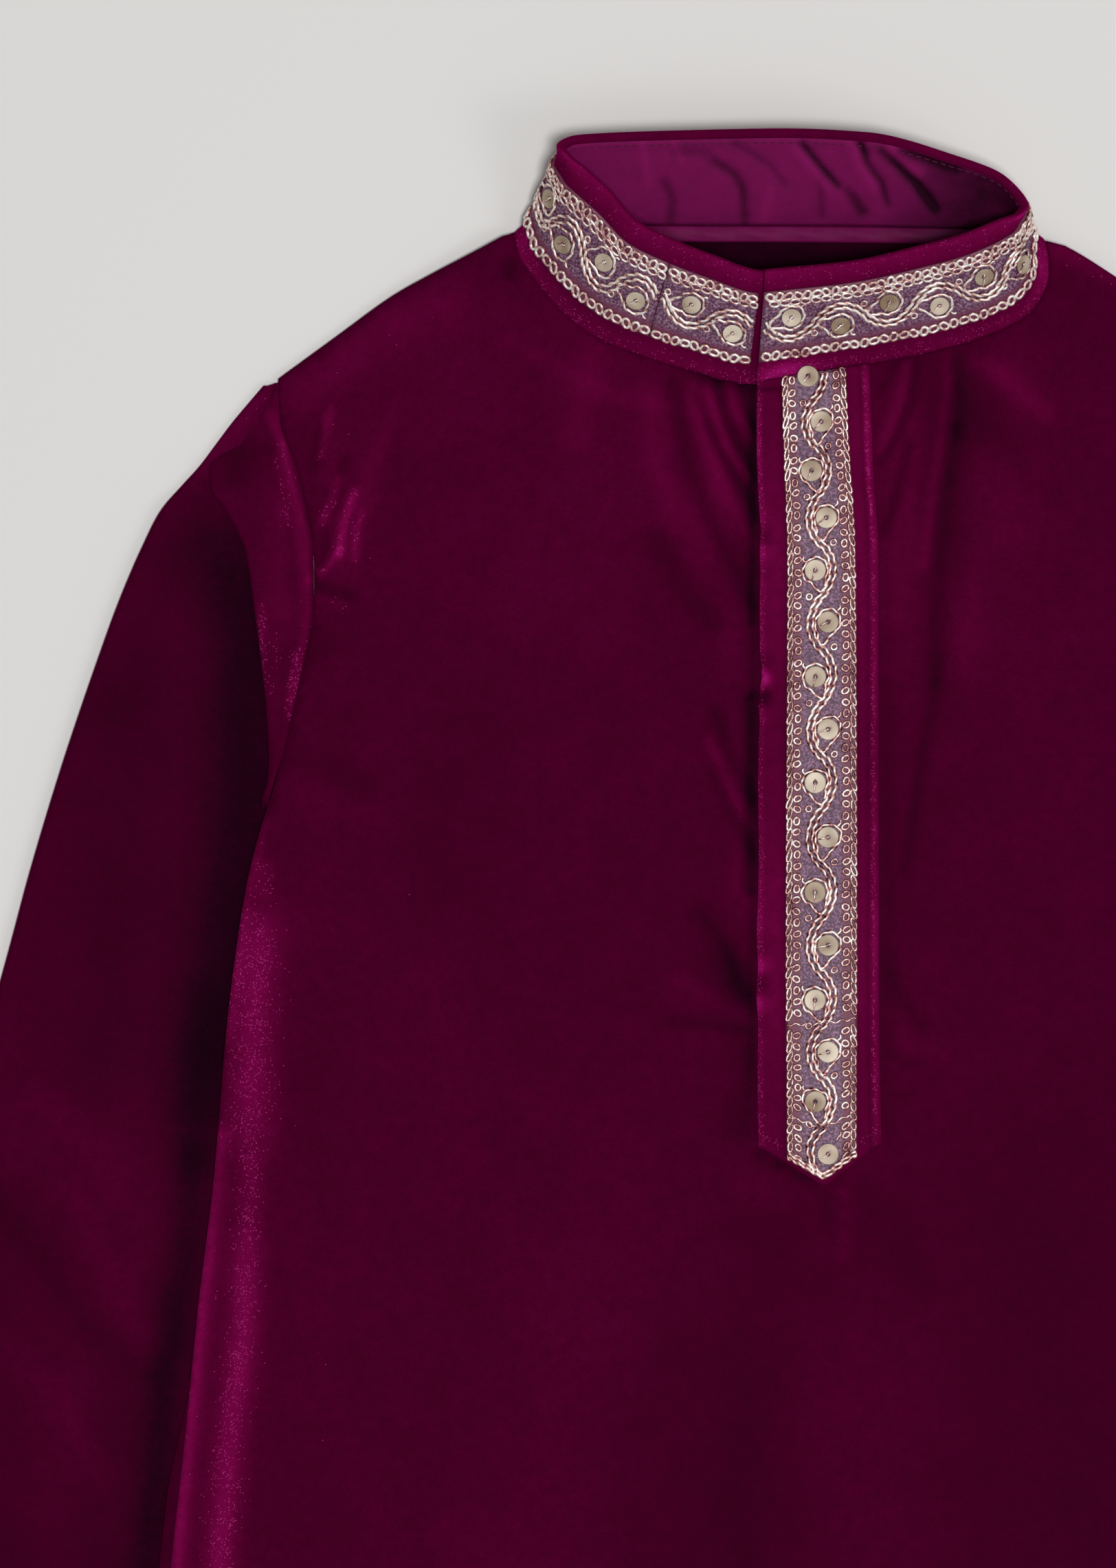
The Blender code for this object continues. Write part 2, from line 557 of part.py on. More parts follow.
def sleeve_section(row, segments):
    """One section of a sleeve as plan points and heights, from its front seam round to its back seam."""
    cap_count, arc_count, upper_count, lower_count = segments
    inner_y = SLEEVE_SECTIONS.at(row, "inner_y")
    outer_y = SLEEVE_SECTIONS.at(row, "outer_y")
    turn = SLEEVE_SECTIONS.at(row, "turn")
    depth = SLEEVE_SECTIONS.at(row, "depth")
    outer = Vector((SLEEVE_OUT.at(outer_y, "x"), outer_y))
    if row <= ARMPIT_ROW:
        away = SEAM / 2 + ARMPIT_EASE * ramp(inner_y, *ARMPIT_EASE_SPAN)
        inner = Vector((ARMHOLE.at(inner_y, "x") + away, inner_y))
        body_edge = TUCK_EDGE.at(inner_y, "x")
        seam_z = panel_height(-inner.x, inner_y)
        under_z = back_height(-inner.x, inner_y)
    else:
        inner = Vector((UNDERARM.at(inner_y, "x"), inner_y))
        body_edge = half_width(outer_y)
        seam_z = LEVEL[3] + (LEVEL[1] - LEVEL[3]) * ramp(row, ARMPIT_ROW, ARMPIT_ROW + ROWS_TO_SETTLE[0])
        under_z = LEVEL[2] + (LEVEL[0] - LEVEL[2]) * ramp(row, ARMPIT_ROW, ARMPIT_ROW + ROWS_TO_SETTLE[1])
    width = (inner - outer).length
    direction = (inner - outer) / width
    level = LEVEL[1]
    counts = (cap_count, arc_count)
    if turn > TUCKED_FROM_TURN:
        tuck_x = outer.x - TUCK_EDGE.at(inner_y, "x")
        path = tucked_front(width, seam_z, max(tuck_x, LEAST_TUCK), level, turn, depth, counts)
    else:
        run = min(depth, max(width - CLEAR_OF_FOLD, 0.6 * width))
        path = plain_front(width, seam_z, level, run, counts)
    start, start_z = path[-1]
    swell = SLEEVE_SWELL * ramp(outer_y, *SWELL_TOP)
    fold = (level + swell * ramp(outer.x - body_edge, *SWELL_SPAN) - LEVEL[0]) / 2
    end = min(fold, start * 0.4)
    for i in range(1, upper_count + 1):
        s = start + (end - start) * i / upper_count
        plan = outer + direction * s
        full = level + swell * ramp(plan.x - body_edge, *SWELL_SPAN)
        path.append((s, full + (start_z - full) * (1 - smooth(2 * i / upper_count))))
    fold = (path[-1][1] - LEVEL[0]) / 2
    path += [(end * (1 + x), LEVEL[0] + fold * (1 + z)) for x, z in arc((0, 0), 1, 90, 270, arc_count)[1:]]
    rise = min(LOWER_RISE, width / 2)
    for i in range(1, lower_count + 1):
        s = end + (width - end) * (1 - (1 - i / lower_count) ** 1.7)
        path.append((s, LEVEL[0] + (under_z - LEVEL[0]) * smooth((s - width + rise) / rise)))
    return [(outer + direction * s, z) for s, z in path]


def sleeve_surface(side, rows, segments):
    """A sleeve's points and faces; side is -1 for the left of the picture and 1 for the right."""
    vertices = []
    for row in rows:
        section = sleeve_section(row, segments)
        for plan, z in section:
            x = side * plan.x
            vertices.append(place(x, settle(x, plan.y), z))
    return vertices, grid_faces(len(rows), len(section))


def collar_point(station, up):
    """A point of the collar's middle surface: up is 0 at the seam and 1 at the top edge."""
    top = Vector([COLLAR.at(station, "top_" + axis) for axis in "xyz"])
    x, y = COLLAR.at(station, "seam_x"), COLLAR.at(station, "seam_y")
    if BACK_STATIONS[0] <= station <= BACK_STATIONS[1]:
        z = BACK_NECK_Z
    elif station < BACK_STATIONS[0]:
        z = panel_height(x, y)
        z += (BACK_NECK_Z - z) * smooth(station - BACK_STATIONS[0] + 1)
    else:
        z = front_height(x, y)
        z += (BACK_NECK_Z - z) * smooth(BACK_STATIONS[1] + 1 - station)
    seam = Vector((x, y, z + COLLAR.at(station, "lift")))
    return seam.lerp(top, up)


def collar_normal(station, up):
    """Outward direction of the collar."""
    step = 0.04
    along = collar_point(min(station + step, LAST_STATION), up) - collar_point(max(station - step, 0), up)
    rise = collar_point(station, 1) - collar_point(station, 0)
    return rise.cross(along).normalized()


def collar_strip(stations, heights, out):
    """A strip that follows the collar at a distance from its middle surface."""
    vertices = []
    for up in heights:
        for station in stations:
            point = collar_point(station, up) + collar_normal(station, up) * out
            vertices.append(place(*point))
    return vertices, grid_faces(len(heights), len(stations))


def flap_point(across, down, out=0.0):
    """A point of the placket flap: across from 0 at its free edge to 1, down from 0 at the neck to 1."""
    middle_y = FLAP_TOP_Y + (FLAP_CORNER_Y - FLAP_TOP_Y) * down
    left = FLAP.at(middle_y, "left")
    right = FLAP.at(middle_y, "right")
    x = left + (right - left) * across
    top_y = flap_top(x)
    bottom_y = FLAP_CORNER_Y - FLAP_TIP * (1 - abs(across - FLAP_TIP_ACROSS) / FLAP_TIP_ACROSS)
    y = top_y + (bottom_y - top_y) * down
    droop = FLAP_DROOP * ramp(across, FLAP_DROOP_WIDTH, 0) * below_flap(y)
    return Vector((x, y, front_height(x, y) + PITCH - droop + out))


def flap_top(x):
    """Y of the flap's upper end, just below the collar seam."""
    return FLAP_TOP_Y + (x - FLAP_TOP_X) * FLAP_TOP_SLOPE - NECK_SEAM


def flap_strip(edges, end, rows, out):
    """A strip of the flap, or on it, from the neck down to a share of its length."""
    vertices = []
    for row in range(rows + 1):
        for across in edges:
            vertices.append(place(*flap_point(across, end * row / rows, out)))
    return vertices, grid_faces(rows + 1, len(edges))


def button_strip():
    """The hidden button side of the placket, level with the right part of the front panel."""
    vertices = []
    down = np.linspace(BUTTON_SIDE_TOP_Y, PLACKET_SLIT_Y + BUTTON_SIDE_SHORT, 24)
    across = np.linspace(BUTTON_SIDE_X, PLACKET_SLIT_X - PLACKET_SLIT_WIDTH / 2 - 0.1, 4)
    for y in down:
        for x in across:
            vertices.append(place(x, y, panel_height(x, y) + PITCH))
    return vertices, grid_faces(len(down), len(across))


def neck_binding():
    """The narrow band over the back neck seam, inside the garment."""
    vertices = []
    stations = np.linspace(*BAND_STATIONS, 26)
    for out in BAND_ACROSS:
        for station in stations:
            x = COLLAR.at(station, "seam_x")
            y = COLLAR.at(station, "seam_y") - out
            vertices.append(place(x, y, back_height(x, y) + OUT_OF_VELVET))
    return vertices, grid_faces(len(BAND_ACROSS), len(stations))


def finish(name, colour, roughness, metallic=0.0):
    """A plain material for one kind of cloth."""
    material = bpy.data.materials.new(name)
    material.use_nodes = True
    surface = material.node_tree.nodes["Principled BSDF"]
    surface.inputs["Base Color"].default_value = (*colour, 1.0)
    surface.inputs["Roughness"].default_value = roughness
    surface.inputs["Metallic"].default_value = metallic
    return material


def build_panels(velvet):
    """Back and front of the body."""
    cut_panel("back_panel", back_outline(), BACK_SPACINGS, [AT_BACK_NECK], back_height, velvet("back"))
    fine_boxes = [AT_COLLAR, AT_PLACKET]
    cut_panel("front_panel", front_outline(), FRONT_SPACINGS, fine_boxes, panel_height, velvet("front"))


def build_sleeves(velvet):
    """The two sleeves, from the same sections."""
    rows = range(LAST_ROW + 1)
    for name, side in (("sleeve_left", -1), ("sleeve_right", 1)):
        sheet_object(name, sleeve_surface(side, rows, SLEEVE_SEGMENTS), velvet(name))


def build_collar(velvet, satin, border):
    """The stand collar, its lining, the band over the back neck seam and the border round it."""
    whole = np.linspace(0, LAST_STATION, 56)
    sheet_object("collar_outer", collar_strip(whole, COLLAR_HEIGHTS, 0), velvet("collar"))
    lined = np.linspace(*LINED_STATIONS, 50)
    inwards = -(CLOTH / 2 + GAP + LINING_CLOTH / 2)
    sheet_object("collar_lining", collar_strip(lined, LINING_HEIGHTS, inwards), satin, LINING_CLOTH)
    sheet_object("neck_band", neck_binding(), satin, LINING_CLOTH)
    for name, ends, count in (("front", SHORT_BORDER, 6), ("round", LONG_BORDER, 52)):
        strip = collar_strip(np.linspace(*ends, count), BORDER_HEIGHTS, OUT_OF_VELVET)
        sheet_object("trim_collar_" + name, strip, border, TRIM_CLOTH)


def build_placket(velvet, border):
    """The flap with its border, and the button side below it."""
    sheet_object("placket_over", flap_strip(FLAP_ACROSS, 1, 30, 0), velvet("placket"))
    strip = flap_strip(FLAP_BORDER_ACROSS, FLAP_BORDER_END, 30, OUT_OF_VELVET)
    sheet_object("trim_placket", strip, border, TRIM_CLOTH)
    sheet_object("placket_under", button_strip(), velvet("button_side"))


def main():
    """Build every piece of the garment."""
    def velvet(name):
        return finish("velvet_" + name, (0.075, 0.004, 0.030), 0.85)

    satin = finish("lining_satin", (0.10, 0.008, 0.055), 0.45)
    border = finish("border_tissue", (0.42, 0.26, 0.25), 0.40, 0.5)
    build_panels(velvet)
    build_sleeves(velvet)
    build_collar(velvet, satin, border)
    build_placket(velvet, border)


for start_object in list(bpy.data.objects):
    bpy.data.objects.remove(start_object, do_unlink=True)
GARMENT = bpy.data.collections.new("Kurta")
bpy.context.scene.collection.children.link(GARMENT)
ROOT = bpy.data.objects.new("kurta_root", None)
GARMENT.objects.link(ROOT)
main()
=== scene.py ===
"""A boy's velvet kurta, laid flat and face up on a pale studio floor.

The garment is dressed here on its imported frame. Its cloth follows the same plan tables and heights as the
solids, in millimetres of the lay, with X to the viewer's right, Y towards the collar and Z up. The stand
collar, the placket flap and the zari borders with their sequins are worked over the same surfaces.
"""
import logging
import math
from dataclasses import dataclass, field
from enum import Enum
from typing import Any, Callable, Iterable, Sequence

import bpy
import numpy as np
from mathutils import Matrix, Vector
from mathutils.geometry import delaunay_2d_cdt


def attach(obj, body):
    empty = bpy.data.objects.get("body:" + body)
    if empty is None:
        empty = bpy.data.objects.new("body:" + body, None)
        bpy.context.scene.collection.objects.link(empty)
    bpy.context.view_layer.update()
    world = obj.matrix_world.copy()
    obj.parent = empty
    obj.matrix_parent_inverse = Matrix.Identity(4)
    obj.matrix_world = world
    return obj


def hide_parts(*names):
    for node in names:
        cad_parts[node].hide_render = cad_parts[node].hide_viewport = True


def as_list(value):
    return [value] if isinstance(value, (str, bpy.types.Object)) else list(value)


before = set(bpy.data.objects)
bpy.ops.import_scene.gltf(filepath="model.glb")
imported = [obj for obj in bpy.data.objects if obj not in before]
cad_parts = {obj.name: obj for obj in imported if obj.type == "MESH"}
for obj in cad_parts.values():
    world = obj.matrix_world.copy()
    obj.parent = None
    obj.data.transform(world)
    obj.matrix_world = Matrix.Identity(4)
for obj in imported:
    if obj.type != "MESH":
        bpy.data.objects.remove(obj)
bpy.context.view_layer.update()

LOG = logging.getLogger("kurta")
MM = 0.001

Array = np.ndarray
Pair = tuple[float, float]
Point = Pair
Size = Pair
Numbers = float | np.ndarray
Material = bpy.types.Material

# Farther than anything in the picture, in millimetres
FAR = 1e9

# Cloth and how it stacks, in millimetres
CLOTH = 1.0
GAP = 0.35
PITCH = CLOTH + GAP
SEAM = 0.12
NECK_SEAM = 0.9
TRIM_CLOTH = 0.8
OUT_OF_VELVET = CLOTH / 2 + GAP + TRIM_CLOTH / 2
LEVEL = [CLOTH / 2 + PITCH * layer for layer in range(4)]

# Places down the garment and across it
SHOULDER_END = (152.0, -41.4)
NECK_POINT = (84.4, 74.4)
ARMPIT_Y = -164.0
UNDERARM_LOW_Y = -211.0
SLIT_TOP_Y = -328.0
SLIT_OPENING_RUN = 40.0
HEM_Y = -640.0
BACK_HEM_Y = -643.0
BACK_SLIT_SHOW = 3.4
CUFF_ROW = 27
ARMPIT_ROW = 14
ROWS_TO_SETTLE = (0.6, 1.0)

# The placket: the front's cut, and the flap that covers it
PLACKET_SLIT_Y = -258.0
PLACKET_SLIT_X = 4.0
PLACKET_SLIT_WIDTH = 0.8
FLAP_TOP_Y = -41.3
FLAP_TOP_X = -13.0
FLAP_TOP_SLOPE = 0.155
FLAP_MIDDLE_X = 5.0
FLAP_CORNER_Y = -264.4
FLAP_TIP = 11.8
FLAP_CORNER_RISE = 3.0
FLAP_TIP_ACROSS = 0.53
FLAP_DROOP = 0.7
FLAP_DROOP_WIDTH = 0.14
BUTTON_SIDE_X = -8.5
BUTTON_SIDE_TOP_Y = -46.0
BUTTON_SIDE_SHORT = 26.0

# Heights of the lay, and how far from an edge or a seam each one eases off
FRONT_PUFF = 2.0
PUFF_EDGE_EASE = 42.0
PUFF_SHOULDER_EASE = 26.0
PUFF_HEM_EASE = 60.0
SHOULDER_FROM_X = 80.0
SLEEVE_SWELL = 1.6
SWELL_SPAN = (4.0, 19.0)
SWELL_TOP = (-52.0, -82.0)
BACK_NECK_Z = 2.4
BACK_NECK_REACH = 13.0
FRONT_NECK_REACH = 30.0
RIGHT_DROP = 0.10
DROP_SPAN = (-150.0, -40.0)
LIFT_REACH = (50.0, 12.0)
LIFT_TOP = (-155.5, -163.5)
LIFT_END = (-500.0, -440.0)
HIDDEN_SPREAD = 26.0
TUCK_REACH = (45.0, 5.0)
TUCK_TOP = (-50.0, -76.0)
TUCK_END = (-185.0, -165.0)
LOWER_FRONT_ACROSS = (-34.0, -14.0)
LOWER_FRONT_DOWN = (PLACKET_SLIT_Y + 2.0, PLACKET_SLIT_Y + 26.0)
FLAT_BESIDE_FLAP = (17.0, 29.0)
FLAT_TO_Y = -290.0
# Crease heights turned into painted shading: painted highlight on ridges, painted shade in troughs, for the
# body, its long folds and the sleeve's folds
CREASE_TONE = 0.21
LONG_FOLD_TONE = 0.35
SLEEVE_FOLD_TONE = 0.45
FOLD_START = (-0.35, 0.15)
FOLD_STOP = (1.35, 0.85)
MIRROR_SHIFT = 3.0
CAP_FALL = 8.5
LOWER_RISE = 4.0
LEAST_TUCK = 1.6
CLEAR_OF_FOLD = 3.5
TUCKED_FROM_TURN = 20
ARMPIT_EASE = 0.3
ARMPIT_EASE_SPAN = (-150.0, -158.0)

# The origin is the middle of the garment's box, on the surface below it
ORIGIN_Y = -305.995

# Sub-pieces of the collar, as stations round it and shares of its height
LAST_STATION = 22
BACK_STATIONS = (8.6, 15.2)
LEFT_NECK = (8.1, 1)
RIGHT_NECK = (21.45, 16)
BACK_NECK = (BACK_STATIONS[0] + 0.1, BACK_STATIONS[1] - 0.1)
SLIT_TOP_RISE = 1.6
CLEAR_OF_SLIT = 4.0
LINED_STATIONS = (0.2, 20.8)
BAND_STATIONS = (8.75, 15.35)
BAND_ACROSS = (0.9, 4.9)
SHORT_BORDER = (1.1, 2.97)
LONG_BORDER = (2.985, LAST_STATION - 0.006)
BORDER_HEIGHTS = (0.17, 0.83)

# Places of the sequins, in millimetres from the top of the flap's border, and from the start and the end of
# the long border
PLACKET_SEQUINS = (0.9, 14.5, 28.5, 42.8, 57.7, 73.2, 88.7, 104.4, 119.5, 135.8, 151.4, 167.2, 182.8, 198.2,
                   212.8, 228.2)
ROUND_FIRST = (6.3, 18.7, 32.8, 43.8, 58.2)
ROUND_LAST = (93.2, 78.8, 66.4, 51.95, 37.5, 23.05, 8.6)

# The borders' dark edge, and the brightness of their cords: painted light, lighter on top and on the plies'
# crests
FLAP_BORDER_END = 0.995
DARK_EDGE = (3.6, 5.0)
CORD_CREST = 0.78
PLY_CREST = 0.22
PLY_TURN = 3.0
RING_CREST = 0.78


def smooth(value: Numbers) -> Numbers:
    """Soft step from 0 at 0 to 1 at 1."""
    value = np.clip(value, 0.0, 1.0)
    return value * value * (3 - 2 * value)


def ramp(value: Numbers, start: float, end: float) -> Numbers:
    """Soft step from 0 at the start to 1 at the end, whichever of the two is larger."""
    return smooth((value - start) / (end - start))


def bell(value: Numbers, half: float) -> Numbers:
    """Bell curve of height 1 about 0, with a half width."""
    return np.exp(-(value / half) ** 2)


def bells(value: Numbers, *rows: tuple[float, float, float]) -> Numbers:
    """Sum of bell curves, each given by its height, where its crest is and its half width."""
    return sum(height * bell(value - crest, half) for height, crest, half in rows)


def uneven(turn: int, rate: float, start: float = 0.0) -> float:
    """A number from -1 to 1 that changes from one turn to the next."""
    return math.sin(rate * turn + start)


def whole_turn(count: int) -> Array:
    """Even angles round a circle."""
    return np.linspace(0, 2 * math.pi, count, endpoint=False)


def run_lengths(points: Array) -> Array:
    """How far each point of a line is from its start, along it."""
    return np.concatenate([[0.0], np.cumsum(np.linalg.norm(np.diff(points, axis=0), axis=1))])


def blend_slopes(first: Array, second: Array) -> Array:
    """Slope at a row between two stretches: their harmonic mean, or none at a turning point.

    Args:
        first: slopes before the row.
        second: slopes after it.

    Returns:
        The slope at the row.
    """
    product = first * second
    total = np.where(product > 0, first + second, 1.0)
    return np.where(product > 0, 2 * product / total, 0.0)


class Table:
    """Rows of named columns; the first column is the key, and a smooth curve joins the rows."""

    def __init__(self, names: str, *rows: tuple[float, ...]) -> None:
        """Sort the rows by their key.

        Args:
            names: the columns' names, parted by spaces.
            rows: one row of numbers for each place.
        """
        self.names = names.split()
        self.rows = np.array(sorted(rows), dtype=float)
        self.keys = self.rows[:, 0]

    def at(self, key: Numbers, name: str) -> Array:
        """Values of a column by a curve that never overshoots its rows.

        Args:
            key: one key or an array of them.
            name: the column.

        Returns:
            The value at each key.
        """
        values = self.rows[:, self.names.index(name)]
        key = np.clip(key, self.keys[0], self.keys[-1])
        step = np.diff(self.keys)
        slope = np.diff(values) / step
        row = np.clip(np.searchsorted(self.keys, key, side="right") - 1, 0, len(step) - 1)
        start = blend_slopes(slope[np.maximum(row - 1, 0)], slope[row])
        end = blend_slopes(slope[row], slope[np.minimum(row + 1, len(slope) - 1)])
        t = (key - self.keys[row]) / step[row]
        ends = (start * t * (1 - t) ** 2 - end * t ** 2 * (1 - t)) * step[row]
        return values[row] + slope[row] * step[row] * t * t * (3 - 2 * t) + ends


# Outlines of the left half as it lies, mirrored for the right half: x is the distance from the middle
SHOULDER = Table(
    "x y", (68, 8.6), (80.6, 3.2), (93.4, -3.6), (107.6, -11), (118, -16.8), (135, -29), SHOULDER_END)
ARMHOLE = Table(
    "y x", SHOULDER_END[::-1], (-51, 151.8), (-69, 146.2), (-88, 142.2), (-98, 141.4), (-108, 141.8),
    (-117, 143.2), (-131, 146.2), (-148, 150), (ARMPIT_Y, 154.4))
SIDE = Table(
    "y x", (ARMPIT_Y, 154.4), (-174, 157.6), (-191, 161.6), (-227, 166.6), (-275, 170.8), (-311, 175.2),
    (-347, 178.8), (-383, 182.8), (-450, 189.6), (HEM_Y, 210.5), (BACK_HEM_Y, 211))
SLEEVE_OUT = Table(
    "y x", (-43.4, 155.7), (-54.4, 165), (-67.4, 174.8), (-80, 185.8), (-91, 191.4), (-107, 198.2),
    (-123, 204), (-155, 214.8), (-187, 224.4), (-211, 230.8), (-300, 256), (-380, 278.6), (-447, 296))
UNDERARM = Table(
    "y x", (ARMPIT_Y, 154.6), (-165.5, 152.6), (-168, 149.5), (-172, 146), (-180, 141), (-190, 135.5),
    (UNDERARM_LOW_Y, 129), (-250, 138), (-300, 152), (-380, 176), (-447, 198), (-474.4, 205.6))
TUCK_EDGE = Table(
    "y x", (-44, 155.4), (-54, 162), (-62, 168.4), (-67.4, 171.4), (-72, 171.2), (-77, 169), (-82.6, 164.4),
    (-90, 161.4), (-101, 159.6), (-122, 156.6), (-146, 154.4), (-153, 154.2), (-159, 154.5), (-164, 155.4))
SLEEVE_SECTIONS = Table(
    "row inner_y outer_y turn depth",
    (0, -42.4, -43.6, 0, 40), (1, -47, -48, 0, 40), (2, -54, -54.4, 0, 40), (3, -60.5, -60.5, 0, 40),
    (4, -67, -67, 110, 0.9), (5, -73, -73, 170, 4), (6, -80, -80, 180, 8), (7, -91, -91, 180, 13),
    (8, -107, -107, 180, 15), (9, -123, -123, 180, 12), (10, -138, -138, 180, 7), (11, -148, -148, 180, 3),
    (12, -153, -153, 180, 2), (13, -158.5, -158.5, 180, 1.4), (14, ARMPIT_Y, ARMPIT_Y, 150, 0.9),
    (15, -167, -167, 0, 8.5), (16, -170, -170, 0, 9), (17, -174, -174, 0, 10), (18, -180, -180, 0, 12),
    (19, -190, -188, 0, 13),
    (20, -211, -206, 0, 13), (21, -240, -231, 0, 13), (22, -272, -259, 0, 13), (23, -308, -291, 0, 13),
    (24, -346, -327, 0, 13), (25, -388, -367, 0, 13), (26, -431, -407, 0, 13), (27, -474.4, -447, 0, 13))
NECK_HEIGHT = Table(
    "x z", (-83, 4.6), (-76, 6.2), (-59, 8.2), (-34, 9.3), (-13, 9.9), (4, 10.2), (35, 10.2), (53, 9.2),
    (66, 7.2), (71.5, 5.0))
COLLAR = Table(
    "station top_x top_y top_z seam_x seam_y lift",
    (0, 12, -9.8, 24.6, 8, -37.9, -2.0), (1, -10, -11.4, 25.2, -13.4, -42.2, 0),
    (2, -25.8, -6.8, 26.2, -34, -37.6, 0), (3, -37, -2.4, 26.6, -45.8, -34, 0),
    (4, -48.6, 3.6, 26.8, -59, -28.7, 0), (5, -56, 12, 27, -69, -21.3, 0),
    (6, -62.5, 17.8, 27.4, -76, -13, 0), (7, -68.8, 22.6, 27.4, -81.3, -5, 0),
    (8, -71.4, 25.8, 24.8, -82.6, 0.5, 0), (9, -66.5, 28.6, 22.2, -77, 4.2, 0),
    (10, -57, 29.4, 22.2, -62, 3.8, 0), (11, -33, 30.2, 23, -35, 3.5, 0),
    (12, -5, 30.7, 23.5, -6, 3.4, 0), (13, 19, 29.6, 23.5, 20, 3.2, 0),
    (14, 43, 23.4, 23, 44, 2.8, 0), (15, 58.6, 17.2, 22.5, 61, 2.4, 0),
    (16, 66.2, 8.4, 24.5, 70.4, -1.5, 0), (17, 64, 5.2, 26.2, 71.6, -10.5, 0),
    (18, 57.8, 3.4, 27, 66.5, -21, 0), (19, 45.6, -1.2, 27.3, 53, -28.3, 0),
    (20, 33.4, -4.4, 27.6, 37.5, -32.8, 0), (21, 15, -8.6, 28.2, 15.5, -36.8, 0.5),
    (22, -10.8, -11.2, 28.6, -13, -41.6, 1.3))
FLAP = Table(
    "y left right", (-275, -11.9, 23.6), (-227, -12.5, 22.6), (-160, -12.1, 22.5), (-97, -11.6, 22.4),
    (-72, -12.3, 20.9), (-36, -12.8, 19.4))
FLAP_BORDER = Table(
    "y left right", (-275, -4.1, 16.3), (-259, -4.2, 16.3), (-207, -4.6, 16.5), (-97, -4.1, 16.0),
    (-60, -5.3, 13.8), (-36, -5.9, 12.7))


@dataclass(frozen=True)
class Run:
    """A run through places of the lay, with a soft edge."""

    path: tuple[Point, ...]
    half: float

    def near(self, x: Array, y: Array) -> Array:
        """How close places are to it, from 0 far off to 1 on it, fading at its two ends.

        Args:
            x: places across the lay.
            y: places along the lay.

        Returns:
            The closeness at each place.
        """
        points = np.array(self.path, dtype=float)
        steps = np.diff(points, axis=0)
        lengths, before = np.hypot(steps[:, 0], steps[:, 1]), run_lengths(points)
        away, along = np.full(np.shape(x), FAR), np.zeros(np.shape(x))
        for turn, ((ax, ay), (dx, dy), length) in enumerate(zip(points, steps, lengths)):
            share = ((x - ax) * dx + (y - ay) * dy) / length ** 2
            low = -1.0 if turn == 0 else 0.0
            high = 2.0 if turn == len(steps) - 1 else 1.0
            t = np.clip(share, 0.0, 1.0)
            distance = np.hypot(x - ax - dx * t, y - ay - dy * t)
            closer = distance < away
            along = np.where(closer, (before[turn] + np.clip(share, low, high) * length) / before[-1], along)
            away = np.where(closer, distance, away)
        return ramp(along, *FOLD_START) * ramp(along, *FOLD_STOP) * bell(away, self.half)

    def moved(self, turn: int) -> tuple[Point, ...]:
        """The run on the other half of the garment, uneven by its turn in the list.

        Args:
            turn: its turn in the list.

        Returns:
            The places of the new run.
        """
        shift = MIRROR_SHIFT * uneven(turn, 2.1, 0.6)
        return tuple((-x + shift * math.cos(place), y - shift * (1 - place)) for place, (x, y) in
                     enumerate(self.path))


@dataclass(frozen=True)
class Crease(Run):
    """A long soft ridge, or a trough where its height is below 0."""

    height: float

    def at(self, x: Array, y: Array) -> Array:
        """Height that it adds at each place."""
        return self.height * self.near(x, y)

    def scaled(self, share: float) -> "Crease":
        """The same crease with a share of its height."""
        return Crease(self.path, self.half, share * self.height)

    def mirrored(self, turn: int) -> "Crease":
        """A like crease on the other half."""
        return Crease(self.moved(turn), self.half, self.height * (0.8 + 0.25 * uneven(turn, 1.7)))


@dataclass(frozen=True)
class NapAndShadingRun(Run):
    """A run with a tone and a glitter: where the velvet's nap lies another way, and runs of painted shade,
    painted sheen and painted glints of its pile.
    """

    tone: float
    glitter: float = 0.0

    def at(self, x: Array, y: Array) -> tuple[Array, Array]:
        """Tone and glitter that it adds at each place."""
        near = self.near(x, y)
        return self.tone * near, self.glitter * near

    def mirrored(self, turn: int) -> "NapAndShadingRun":
        """A like run on the other half."""
        share = 0.75 + 0.25 * uneven(turn, 2.3)
        return NapAndShadingRun(self.moved(turn), self.half, self.tone * share, self.glitter * share)


def summed(creases: Iterable[Crease], x: Array, y: Array) -> Array:
    """Height that several creases add at each place."""
    return sum((crease.at(x, y) for crease in creases), np.zeros(np.shape(x)))


def through(row: Sequence[float]) -> tuple[Point, ...]:
    """The places that a row of numbers runs through, from its x and y in turn."""
    return tuple(zip(row[::2], row[1::2]))


def creased(*rows: tuple[float, ...]) -> list[Crease]:
    """Creases from rows of a half width, a height and the places that each runs through."""
    return [Crease(through(row[2:]), *row[:2]) for row in rows]


def laid(*rows: tuple[float, ...]) -> list[NapAndShadingRun]:
    """Runs of nap tone and painted shading from rows of a half width, a tone, a glitter and the places that
    each runs through.
    """
    return [NapAndShadingRun(through(row[3:]), *row[:3]) for row in rows]


# The front's long folds, which the solids have too
FRONT_FOLDS = creased(
    (6, 1, -26, -46, -30, -92), (5, -0.9, -14, -56, -20, -104), (6, 1, -19, -150, -15, -195),
    (5, -0.8, -20, -212, -16, -240), (9, -1.3, 44, -36, 46, -96), (8, 0.9, 62, -34, 58, -90),
    (7, 0.8, 30, -44, 27, -110), (4, 0.7, -136, -54, -139, -70), (5, 0.8, -130, -76, -137, -104),
    (26, 0.9, -60, -300, -90, -420), (24, -0.9, 70, -260, 90, -420), (22, 0.8, 20, -330, 10, -470))

